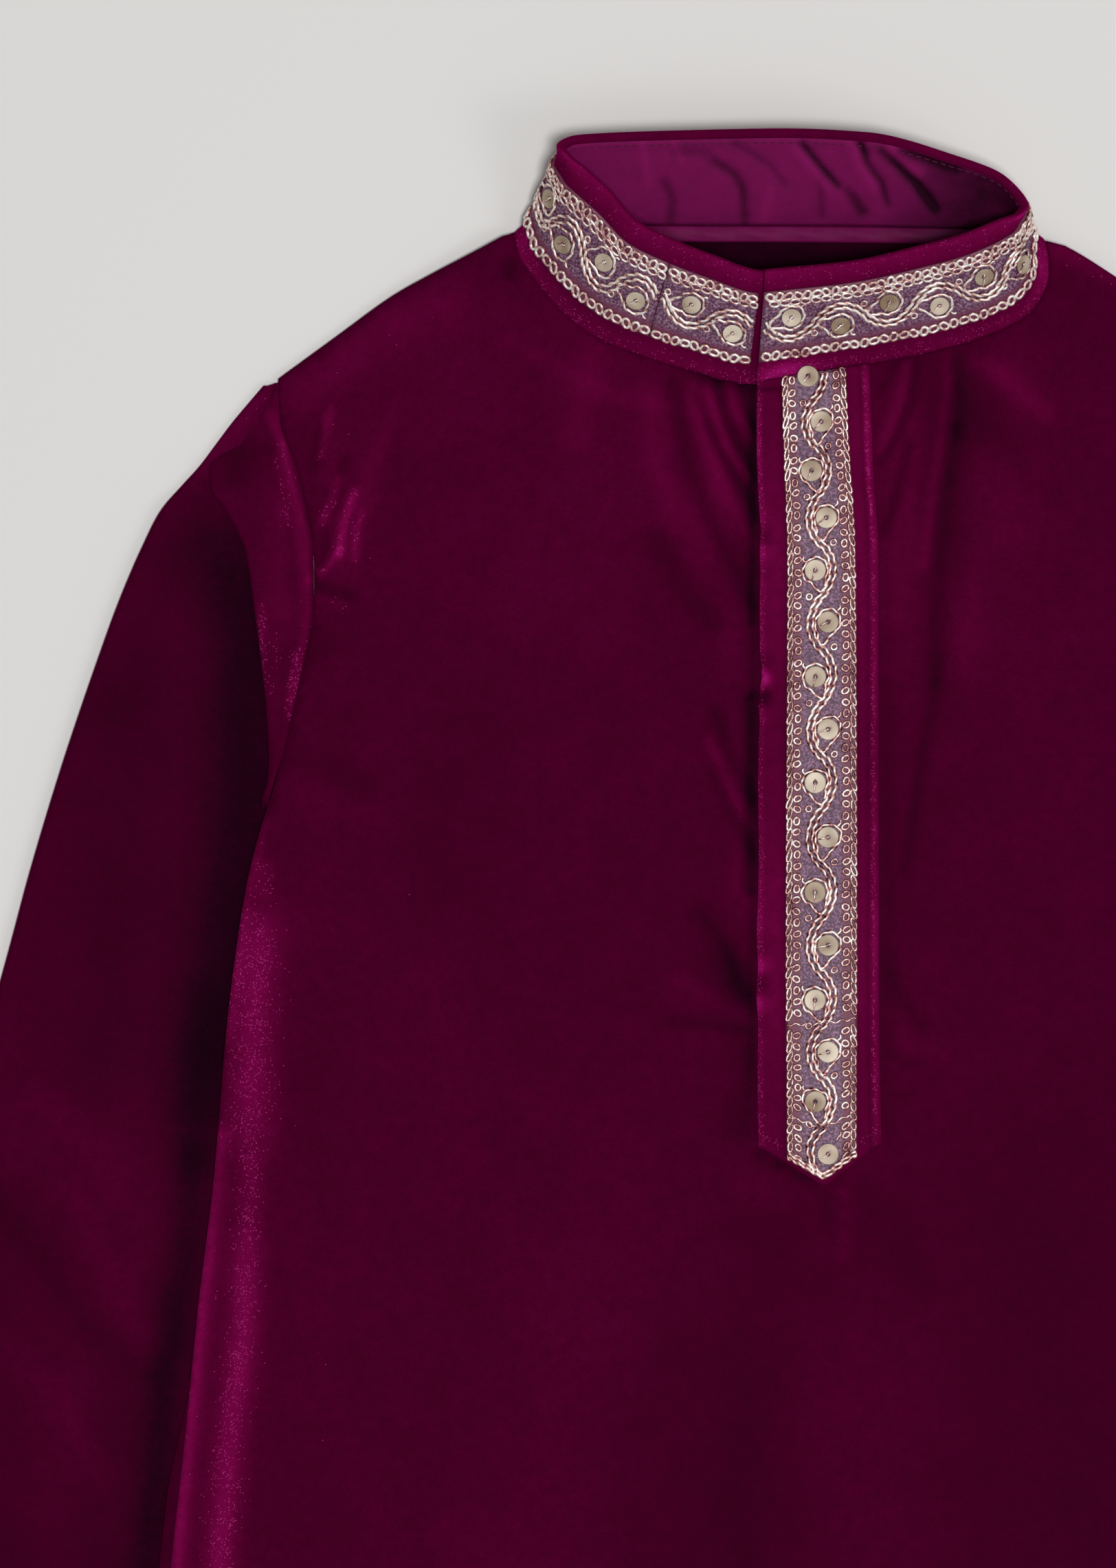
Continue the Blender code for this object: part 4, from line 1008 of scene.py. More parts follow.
@dataclass
class FrontPanel:
    """The front of the body, cut open for the placket."""

    spacing: float = 3.4
    fine: float = 1.5
    outline_steps: tuple[float, float, float] = (2.6, 2.0, 3.2)
    roll: float = 0.2
    roll_run: float = 2.0
    crease_run: float = 1.5
    wave_run: float = 6.0
    waves: float = 0.10
    seam_points: int = 60
    neck_step: float = 2.0
    slit_points: int = 70
    before_slit: Point = (-9.0, 0.6)
    fine_boxes: tuple = ((-96, 90, -98, 12), (-152, -112, -112, -40), (112, 152, -122, -50),
                         (-32, -10, -245, -98), (22, 52, -195, -98), (-182, -148, -420, -170))
    flat_cut: Size = (423.0, 644.0)

    def neck(self) -> Array:
        """The neck edge from left to right, down and up the placket's cut on its way.

        Returns:
            The line's points.
        """
        lines = [LAY.seam_line(*ends, self.seam_points) for ends in (LEFT_NECK, RIGHT_NECK)]
        left, right = [offset_line(resample(line, self.neck_step), -NECK_SEAM) for line in lines]
        corner = left[-1, 1]
        down = np.linspace(corner + SLIT_TOP_RISE, PLACKET_SLIT_Y, self.slit_points)
        half = PLACKET_SLIT_WIDTH / 2
        slit = [np.column_stack([np.full_like(down, PLACKET_SLIT_X + side * half), down[::-side]])
                for side in (-1, 1)]
        beside = np.array([[PLACKET_SLIT_X + self.before_slit[0], corner + self.before_slit[1]]])
        return np.vstack([left, beside, *slit, right[right[:, 0] > PLACKET_SLIT_X + CLEAR_OF_SLIT]])

    def mesh(self) -> Mesh:
        """The panel's surface.

        Returns:
            The surface, with its nap and painted shading.
        """
        outline = Outline(NECK_POINT, HEM_Y, 0.0, self.outline_steps)
        plan, faces = PanelCut(outline.closed(self.neck()), self.spacing, self.fine_boxes, self.fine).fill()
        x, y = plan.T
        edge = y - HEM_Y
        for edge_x, edge_y in np.vstack(outline.sides()):
            edge = np.minimum(edge, np.hypot(x - edge_x, y - edge_y))
        height = LAY.panel_height(x, y)
        creases = both_halves(ARMHOLE_CREASES) + COLLAR_CREASES + FLAP_CREASES
        height += summed(creases, x, y) * smooth(edge / self.crease_run)
        # The long folds as painted shading only, at a share of their height
        creases += [fold.scaled(LONG_FOLD_TONE) for fold in FRONT_FOLDS]
        height += slow_waves(x, y, self.waves) * smooth(edge / self.wave_run)
        height -= self.roll * (1 - smooth(edge / self.roll_run))
        # The nap's lie with painted sheen along the sides, painted highlights at the armholes and painted
        # shadows by the flap and the collar
        marks = nap_and_shading_marks(both_halves(SIDE_PAINTED_SHEEN + ARMHOLE_NAP_AND_SHADING) + MIDDLE_NAP_AND_SHADE, creases, x, y)
        return Mesh(to_model(x, y, height), faces, marks).facing_up()

    def build(self, maker: Maker, velvet: Material) -> None:
        maker.cloth("Front_panel", self.mesh(), velvet, Slot.VELVET, "front_panel", CLOTH, self.flat_cut,
                    ["Back_panel"])


@dataclass
class BackPanel:
    """The back of the body, whose edges show a little past the front's at the slits and the hem."""

    spacing: float = 6.5
    fine: float = 3.0
    seam_points: int = 40
    neck_step: float = 3.0
    outline_steps: tuple[float, float, float] = (3.0, 2.6, 4.0)
    fine_boxes: tuple = ((-92, 84, -26, 12),)
    flat_cut: Size = (431.0, 648.0)

    def mesh(self) -> Mesh:
        """The panel's surface.

        Returns:
            The surface, with painted shade inside the neck and the darker wrong side there.
        """
        outline = Outline(NECK_POINT, BACK_HEM_Y, BACK_SLIT_SHOW, self.outline_steps)
        neck = offset_line(resample(LAY.seam_line(*BACK_NECK, self.seam_points), self.neck_step), -NECK_SEAM)
        plan, faces = PanelCut(outline.closed(neck), self.spacing, self.fine_boxes, self.fine).fill()
        x, y = plan.T
        return Mesh(to_model(x, y, LAY.back_height(x, y)), faces, nap_and_shading_marks(NECK_WRONG_SIDE_AND_SHADE, [], x, y)).facing_up()

    def build(self, maker: Maker, velvet: Material) -> None:
        maker.cloth("Back_panel", self.mesh(), velvet, Slot.VELVET, "back_panel", CLOTH, self.flat_cut,
                    ["Floor"])


@dataclass
class Sleeve:
    """A sleeve brought down beside the body, tucked over itself at the armhole."""

    side: int
    cap_steps: int = 10
    arc_steps: int = 6
    upper_steps: int = 34
    lower_steps: int = 14
    row_steps: int = 12
    least_cap: float = 0.8
    fall_end: float = 5.0
    least_fall: float = 0.35
    fold_room: float = 0.6
    least_fold: float = 0.4
    open_ease: float = 5.0
    lower_bunch: float = 1.7
    ridge_rows: int = 3
    ridges: tuple = ((0.5, 1.9, 1.3), (-0.25, 0.0, 0.8))
    waves: float = 0.16
    cap_shading_ends: Pair = (-167.0, -161.0)
    flat_cut: Size = (205.0, 440.0)

    @property
    def name(self) -> str:
        """Left or right in the picture."""
        return "left" if self.side < 0 else "right"

    def arc(self, centre: Point, radius: float, start: float, end: float) -> Array:
        """Points of an arc between two angles in degrees."""
        angles = np.radians(np.linspace(start, end, self.arc_steps + 1))
        return np.column_stack([centre[0] + radius * np.cos(angles), centre[1] + radius * np.sin(angles)])

    def tucked(self, width: float, seam_z: float, tuck_x: float, turn: float, depth: float) -> Array:
        """The cap's run to the edge of its tuck, under it and back.

        Args:
            width: from the outer edge to the front seam.
            seam_z: height of that seam.
            tuck_x: where the tuck's edge is, from the outer edge.
            turn: how far round the cloth turns, in degrees.
            depth: length of cloth in the tuck.

        Returns:
            Distances from the outer edge, and heights.
        """
        radius = PITCH / 2
        angle = math.radians(turn)
        top_z = LEVEL[1] + 2 * radius * (1 - math.cos(angle)) + depth * math.sin(angle)
        end = min(tuck_x + radius, width - self.least_cap)
        steps = np.linspace(0, 1, self.cap_steps + 1)
        cap = np.column_stack([width + (end - width) * steps, seam_z + (top_z - seam_z) * steps])
        turned = self.arc((end, top_z - radius), radius, 90, 90 + turn)[1:]
        back = (turned[-1, 0] - depth * math.cos(angle), turned[-1, 1] - depth * math.sin(angle))
        centre = (back[0] - radius * math.sin(angle), back[1] + radius * math.cos(angle))
        return np.vstack([cap, turned, self.arc(centre, radius, turn - 90, -90)])

    def plain(self, width: float, seam_z: float, run: float) -> Array:
        """The same stretch where the sleeve isn't tucked: it falls softly from the seam to its level.

        Args:
            width: from the outer edge to the front seam.
            seam_z: height of that seam.
            run: length of the stretch.

        Returns:
            Distances from the outer edge, and heights.
        """
        cap_run = max(run - self.fall_end, self.least_fall * run)
        away = np.concatenate([
            np.linspace(0, cap_run, self.cap_steps, endpoint=False),
            np.linspace(cap_run, run, 2 * self.arc_steps + 2)])
        height = seam_z + (LEVEL[1] - seam_z) * smooth(away / min(run, CAP_FALL))
        return np.column_stack([width - away, height])

    def section(self, row: int) -> tuple[Array, Array]:
        """One section from its front seam round to its back seam.

        Args:
            row: the section's row in its table.

        Returns:
            The points of the lay, and how far each one is in the open on the upper layer, from 0 to 1.
        """
        inner_y, outer_y, turn, depth = [
            float(SLEEVE_SECTIONS.at(row, name)) for name in ("inner_y", "outer_y", "turn", "depth")]
        outer = np.array([float(SLEEVE_OUT.at(outer_y, "x")), outer_y])
        if row <= ARMPIT_ROW:
            away = SEAM / 2 + ARMPIT_EASE * ramp(inner_y, *ARMPIT_EASE_SPAN)
            inner = np.array([float(ARMHOLE.at(inner_y, "x")) + away, inner_y])
            body_edge = float(TUCK_EDGE.at(inner_y, "x"))
            seam_z = float(LAY.panel_height(-inner[0], inner_y)[0])
            under_z = float(LAY.back_height(-inner[0], inner_y)[0])
        else:
            inner = np.array([float(UNDERARM.at(inner_y, "x")), inner_y])
            body_edge = float(LAY.half_width(outer_y))
            settled = [smooth((row - ARMPIT_ROW) / rows) for rows in ROWS_TO_SETTLE]
            seam_z = LEVEL[3] + (LEVEL[1] - LEVEL[3]) * settled[0]
            under_z = LEVEL[2] + (LEVEL[0] - LEVEL[2]) * settled[1]
        width = float(np.linalg.norm(inner - outer))
        direction = (inner - outer) / width
        if turn > TUCKED_FROM_TURN:
            tuck_x = max(outer[0] - float(TUCK_EDGE.at(inner_y, "x")), LEAST_TUCK)
            front = self.tucked(width, seam_z, tuck_x, turn, depth)
        else:
            front = self.plain(width, seam_z, min(depth, max(width - CLEAR_OF_FOLD, self.fold_room * width)))
        start, start_z = front[-1]
        swell = SLEEVE_SWELL * ramp(outer_y, *SWELL_TOP)
        fold = (LEVEL[1] + swell * ramp(outer[0] - body_edge, *SWELL_SPAN) - LEVEL[0]) / 2
        end = min(fold, start * self.least_fold)
        share = np.arange(1, self.upper_steps + 1) / self.upper_steps
        run = start + (end - start) * share
        full = LEVEL[1] + swell * ramp(outer[0] + direction[0] * run - body_edge, *SWELL_SPAN)
        upper = np.column_stack([run, full + (start_z - full) * (1 - smooth(2 * share))])
        fold = (upper[-1, 1] - LEVEL[0]) / 2
        turn_in = self.arc((0, 0), 1, 90, 270)[1:]
        turned = np.column_stack([end * (1 + turn_in[:, 0]), LEVEL[0] + fold * (1 + turn_in[:, 1])])
        rise = min(LOWER_RISE, width / 2)
        ahead = 1 - np.arange(1, self.lower_steps + 1) / self.lower_steps
        back = end + (width - end) * (1 - ahead ** self.lower_bunch)
        lower_z = LEVEL[0] + (under_z - LEVEL[0]) * smooth((back - width + rise) / rise)
        lower = np.column_stack([back, lower_z])
        path = np.vstack([front, upper, turned, lower])
        plan = outer + direction * path[:, :1]
        in_open = np.zeros(len(path))
        eased = smooth(self.open_ease * share) * smooth(self.open_ease * (1 - share))
        in_open[len(front):len(front) + len(upper)] = eased
        ridge = bells(width - path[:self.cap_steps, 0], *self.ridges)
        path[:self.cap_steps, 1] += ridge * ramp(row, ARMPIT_ROW, ARMPIT_ROW - self.ridge_rows)
        return np.column_stack([plan, path[:, 1]]), in_open

    def surface(self) -> tuple[Array, Array]:
        """The sections joined by curves that never overshoot them, and how open each point lies.

        Returns:
            A grid of points of the lay, and one of shares.
        """
        made = [self.section(row) for row in range(CUFF_ROW + 1)]
        points = np.array([section for section, _ in made])
        in_open = np.array([weights for _, weights in made])
        slope = np.diff(points, axis=0)
        slopes = np.concatenate([slope[:1], blend_slopes(slope[:-1], slope[1:]), slope[-1:]])
        rows = np.linspace(0, CUFF_ROW, CUFF_ROW * self.row_steps + 1)
        first = np.minimum(rows.astype(int), CUFF_ROW - 1)
        t = (rows - first)[:, None, None]
        curve = points[first] + slope[first] * t * t * (3 - 2 * t)
        curve += slopes[first] * t * (1 - t) ** 2 - slopes[first + 1] * t ** 2 * (1 - t)
        weight = in_open[first] * (1 - t[..., 0]) + in_open[first + 1] * t[..., 0]
        return curve, weight

    def mesh(self) -> Mesh:
        """The sleeve's surface, all round.

        Returns:
            The surface, with its nap and painted shading.
        """
        curve, weight = self.surface()
        rows, columns = weight.shape
        x, y, z = curve.reshape(-1, 3).T
        folds = summed(SLEEVE_FOLDS, -x, y) + self.waves * np.sin(x / 9 + y / 31) * np.sin(y / 19)
        z = z + folds * weight.ravel()
        cap = np.zeros((rows, columns))
        cap[:, :self.cap_steps + self.arc_steps] = 1
        # Painted highlights on the cap; below it, painted shade beside the body and painted shading of the
        # folds
        marks = nap_and_shading_marks(CAP_PAINTED_SHADING, [], -x, y)
        below = nap_and_shading_marks(SLEEVE_PAINTED_SHADE, [fold.scaled(SLEEVE_FOLD_TONE) for fold in SLEEVE_FOLDS], -x, y)
        cap = cap.ravel() * ramp(y, *self.cap_shading_ends)
        for key, values in marks.items():
            marks[key] = values * cap + below[key] * (1 - cap)
        x = self.side * x
        return Mesh(to_model(x, LAY.settle(x, y), z), grid_faces(rows, columns), marks)

    def build(self, maker: Maker, velvet: Material) -> None:
        """Args:
            maker: makes the pieces.
            velvet: the finish.
        """
        mesh = self.mesh() if self.side < 0 else self.mesh().turned()
        maker.cloth(f"Sleeve_{self.name}", mesh, velvet, Slot.VELVET, f"sleeve_{self.name}", CLOTH,
                    self.flat_cut, ["Floor"])


@dataclass
class Ribbon:
    """The face of a strip of cloth, measured in millimetres along and across it."""

    points: Array
    lengths: Array = field(init=False)
    length: float = field(init=False)
    width: float = field(init=False)
    normals: Array = field(init=False)

    def __post_init__(self) -> None:
        """Measure the strip and find which way its face looks."""
        middle = self.points[:, self.points.shape[1] // 2]
        self.lengths = run_lengths(middle)
        self.length = float(self.lengths[-1])
        self.width = float(np.linalg.norm(np.diff(self.points, axis=1), axis=2).sum(axis=1).mean())
        lengthwise, crosswise = np.gradient(self.points, axis=(0, 1))
        self.normals = np.cross(lengthwise, crosswise)
        self.normals /= np.linalg.norm(self.normals, axis=2)[..., None]
        if self.normals[..., 2].sum() < 0:
            self.normals = -self.normals

    def place(self, along: Array, across: Array, out: Numbers = 0.0) -> tuple[Array, Array]:
        """Points over the strip.

        Args:
            along: distance from its start.
            across: distance from its middle line.
            out: height above its face.

        Returns:
            The points of the lay, and the strip's normals there.
        """
        rows, columns = self.points.shape[:2]
        row = np.interp(along, self.lengths, np.arange(rows))
        column = np.clip(across / self.width + 0.5, 0, 1) * (columns - 1)
        i, j = np.minimum(row.astype(int), rows - 2), np.minimum(column.astype(int), columns - 2)
        u, v = (row - i)[:, None], (column - j)[:, None]
        point, normal = [
            (grid[i, j] * (1 - u) + grid[i + 1, j] * u) * (1 - v)
            + (grid[i, j + 1] * (1 - u) + grid[i + 1, j + 1] * u) * v for grid in (self.points, self.normals)]
        normal /= np.linalg.norm(normal, axis=1)[:, None]
        return point + normal * np.reshape(out, (-1, 1)), normal

    def surface(self, steps: tuple[int, int], out: Callable[[Array, Array], Array]) -> Mesh:
        """The strip as a grid of points moved out by a rule of the places along and across it.

        Args:
            steps: points along and across.
            out: gives the distance out.

        Returns:
            The surface, marked with its middle field.
        """
        lengthwise, crosswise = np.linspace(0, self.length, steps[0]), np.linspace(-0.5, 0.5, steps[1])
        along, across = np.repeat(lengthwise, steps[1]), np.tile(crosswise * self.width, steps[0])
        points, _ = self.place(along, across, out(along, across))
        marks = {"field": ramp(self.width / 2 - np.abs(across), *DARK_EDGE)}
        return Mesh(to_model(*points.T), grid_faces(*steps), marks).facing_up()


@dataclass
class Collar:
    """The stand collar that leans back, its satin lining and the band over the back neck seam."""

    rim_radius: float = 0.8
    slant: float = 34.6
    inner_turn: float = 0.945
    lining_out: float = -1.35
    pad: float = 0.35
    sunk: float = 0.1
    waists: tuple = ((7.5, 4.4), (16.7, -4.8))
    waist_run: float = 1.2
    border_sink: float = 0.35
    border_drop: float = 0.07
    foot: Point = (-0.028, 0.3)
    stitch_up: float = 0.892
    stitch_out: float = 0.45
    crease_depth: float = 0.8
    edge_roll: tuple = ((0.3, 0.90, 0.05), (-0.25, 0.945, 0.012))
    lined_heights: Pair = (0.03, 0.955)
    # Painted highlights and painted glints of the velvet: at the rim, at the seam, where it bends and at its
    # lapped end
    shade: tuple = ((0.18, 0.62, 0.10), (0.10, 0.06, 0.05))
    bend_sheen: tuple = ((1, 0.68, 0.10), (1, 0.06, 0.07))
    bend_sheen_at: tuple = ((0.20, 16.9, 0.8), (0.14, 7.4, 1.2))
    lap: tuple = ((1, 21.7, 0.35), (1, 0.05, 0.07))
    glint_bands: tuple = ((0.4, 0.62, 0.12), (0.6, 0.05, 0.05))
    velvet_cloth: float = 0.9
    satin_cloth: float = 0.5
    band_puff: float = 0.4
    band_waves: float = 0.12
    band_wave_run: float = 2.3
    band_under: float = 0.5
    band_sunk: float = 0.2
    # Painted shade of the band: darker towards the right
    band_tone: Pair = (0.22, 0.40)
    band_shade_x: Pair = (12.0, 45.0)
    velvet_tone: float = 0.10
    lap_highlight: Pair = (0.35, 0.8)
    crease_ends: Pair = (12.0, 8.0)
    # Painted shade of the lining, darker towards the right and at the foot, and painted shine on its creases
    lining_tone: Pair = (0.34, 0.68)
    lining_shade_x: Pair = (20.0, 52.0)
    fold_shine: float = 0.72
    low_shade: tuple = (0.12, 0.05, 0.12)
    profile_steps: tuple[int, int, int] = (16, 9, 4)
    velvet_rows: int = 420
    lining_steps: tuple[int, int] = (560, 26)
    band_steps: tuple[int, int] = (140, 8)
    border_columns: int = 9
    border_drop_run: float = 1.5
    stitch_rows: int = 400
    flat_cut: Size = (45.0, 334.0)
    lining_cut: Size = (36.0, 296.0)
    band_cut: Size = (10.0, 145.0)

    def at(self, station: Array, up: Numbers) -> Array:
        """Points of the middle surface: up is 0 at the seam and 1 at the top edge.

        Args:
            station: stations round the collar.
            up: shares of its height.

        Returns:
            The points of the lay.
        """
        top = np.column_stack([COLLAR.at(station, "top_" + axis) for axis in "xyz"])
        x, y = COLLAR.at(station, "seam_x"), COLLAR.at(station, "seam_y")
        left, right = LAY.panel_height(x, y), LAY.front_height(x, y)
        left = left + (BACK_NECK_Z - left) * smooth(station - BACK_STATIONS[0] + 1)
        right = right + (BACK_NECK_Z - right) * smooth(BACK_STATIONS[1] + 1 - station)
        z = np.where(station < sum(BACK_STATIONS) / 2, left, right)
        seam = np.column_stack([x, y, z + COLLAR.at(station, "lift")])
        points = seam + (top - seam) * np.reshape(up, (-1, 1))
        for middle, inward in self.waists:
            hollow = np.sqrt(np.sin(math.pi * np.clip(up, 0, 1)))
            points[:, 0] += inward * bell(station - middle, self.waist_run) * hollow
        return points

    def outward(self, station: Array, up: Numbers) -> Array:
        """Outward direction of the collar.

        Args:
            station: stations round the collar.
            up: shares of its height.

        Returns:
            Directions of length 1.
        """
        step = 0.04
        along = self.at(np.minimum(station + step, LAST_STATION), up)
        along = along - self.at(np.maximum(station - step, 0), up)
        rise = self.at(station, 1.0) - self.at(station, 0.0)
        outward = np.cross(rise, along)
        return outward / np.linalg.norm(outward, axis=1)[:, None]

    def grid(self, stations: Array, profile: Sequence[Point]) -> Array:
        """Points for each station and each step of a profile of shares up and distances out."""
        columns = [self.at(stations, up) + self.outward(stations, up) * out for up, out in profile]
        return np.stack(columns, axis=1)

    def velvet_profile(self) -> list[Point]:
        """Up the outside, over the rim and a little down the inside, as shares up and distances out.

        Returns:
            The steps of the profile.
        """
        radius, (up_steps, turn_steps, in_steps) = self.rim_radius, self.profile_steps
        rim = 1 - radius / self.slant
        outside = [(up, self.pad * math.sin(math.pi * up) - self.sunk)
                   for up in np.linspace(0, rim, up_steps)]
        turn = [(rim + radius / self.slant * math.sin(angle), radius * (math.cos(angle) - 1) - self.sunk)
                for angle in np.linspace(0, math.pi, turn_steps)[1:]]
        inside = [(up, -2 * radius - self.sunk) for up in np.linspace(rim, self.inner_turn, in_steps)[1:]]
        return [self.foot, *outside, *turn, *inside]

    def velvet(self) -> Mesh:
        """The velvet outside, with painted highlights and painted glints at the rim, at the seam, where it
        bends and at its lapped end.

        Returns:
            The surface, with its nap and painted highlights.
        """
        stations = np.linspace(0, LAST_STATION, self.velvet_rows)
        points = self.grid(stations, self.velvet_profile())
        rows, columns = points.shape[:2]
        up, station = np.tile(np.linspace(0, 1, columns), rows), np.repeat(stations, columns)
        # Painted highlights and painted glints at the lapped end, the rim, the seam and the bends
        lap = bells(station, self.lap[0]) * bells(up, self.lap[1])
        bend_sheen = bells(up, *self.bend_sheen) * bells(station, *self.bend_sheen_at)
        lighter, brighter = self.lap_highlight
        tone = self.velvet_tone + bells(up, *self.shade) + bend_sheen + lighter * lap
        glitter = np.clip(bells(up, *self.glint_bands) + brighter * lap, 0, 1)
        marks = {"nap_tone": tone, "nap_glitter": glitter}
        return Mesh(to_model(*points.reshape(-1, 3).T), grid_faces(rows, columns), marks)

    def lining(self) -> Mesh:
        """The lining inside, with the creases of satin that is a little too long for its collar.

        Returns:
            The surface, with its painted shine and painted shade.
        """
        stations = np.linspace(*LINED_STATIONS, self.lining_steps[0])
        ups = np.linspace(*self.lined_heights, self.lining_steps[1])
        points = self.grid(stations, [(up, self.lining_out) for up in ups])
        rows, columns = points.shape[:2]
        x, y, z = points.reshape(-1, 3).T
        folds = summed(LINING_CREASES, x, y)
        up = np.tile(ups, rows)
        lift = self.crease_depth * folds + bells(up, *self.edge_roll)
        inward = -np.stack([self.outward(stations, up) for up in ups], axis=1).reshape(-1, 3)
        top_ease, foot_ease = self.crease_ends
        lift = lift * smooth((1 - up) * top_ease) * smooth(up * foot_ease)
        points = points.reshape(-1, 3) + inward * lift[:, None]
        # Painted shade, darker towards the right and at the foot, and painted shine on the creases
        tone = self.lining_tone[0] - self.lining_tone[1] * ramp(x, *self.lining_shade_x)
        tone = tone + self.fold_shine * folds - bells(up, self.low_shade)
        return Mesh(to_model(*points.T), grid_faces(rows, columns), {"nap_tone": tone})

    def band(self) -> Mesh:
        """The narrow band over the back neck seam, slightly puffed.

        Returns:
            The surface, with painted shade, darker towards the right.
        """
        stations = np.linspace(*BAND_STATIONS, self.band_steps[0])
        across = np.linspace(BAND_ACROSS[0] - self.band_under, BAND_ACROSS[1], self.band_steps[1])
        x = np.repeat(COLLAR.at(stations, "seam_x"), len(across))
        y = np.repeat(COLLAR.at(stations, "seam_y"), len(across)) - np.tile(across, len(stations))
        puff = self.band_puff * np.sin(np.pi * np.tile(np.linspace(0, 1, len(across)), len(stations)))
        z = LAY.back_height(x, y) + OUT_OF_VELVET - self.band_sunk + puff
        z = z + self.band_waves * np.sin(x / self.band_wave_run + y)
        # Painted shade, darker towards the right
        marks = {"nap_tone": self.band_tone[0] - self.band_tone[1] * ramp(x, *self.band_shade_x)}
        return Mesh(to_model(x, y, z), grid_faces(len(stations), len(across)), marks).facing_up()

    def border_face(self, stations: Pair, count: int) -> Ribbon:
        """The face that a border is sewn on, between two stations.

        Args:
            stations: first and last station.
            count: rows along it.

        Returns:
            The strip.
        """
        run, out = np.linspace(*stations, count), OUT_OF_VELVET - self.border_sink
        drop = self.border_drop * bell(run - self.waists[0][0], self.border_drop_run)
        heights = np.linspace(*BORDER_HEIGHTS, self.border_columns)
        return Ribbon(self.grid(run, [(up - drop, out) for up in heights]))

    def stitches(self) -> Mesh:
        """The row of stitches that holds the lining below the rim.

        Returns:
            All stitches as one surface.
        """
        stations = np.linspace(*LINED_STATIONS, self.stitch_rows)
        inward = -self.outward(stations, self.stitch_up)
        path = self.at(stations, self.stitch_up) + inward * (self.stitch_out - self.lining_out)
        return gathered(Stitching().row(path, inward))

    def build(self, maker: Maker, velvet: Material, satin: Material, thread: Material) -> None:
        """Args:
            maker: makes the pieces.
            velvet: finish of the outside.
            satin: finish of the inside.
            thread: finish of the stitches.
        """
        maker.cloth("Collar_velvet", self.velvet(), velvet, Slot.VELVET, "collar_outer", self.velvet_cloth,
                    self.flat_cut, ["Front_panel", "Back_panel"])
        maker.cloth("Collar_lining", self.lining(), satin, Slot.LINING, "collar_lining", self.satin_cloth,
                    self.lining_cut, ["Collar_velvet"],
                    lambda: [maker.piece("Collar_stitches", self.stitches(), thread, Slot.LINING)])
        maker.cloth("Neck_band", self.band(), satin, Slot.LINING, "neck_band", self.satin_cloth,
                    self.band_cut, ["Back_panel"])


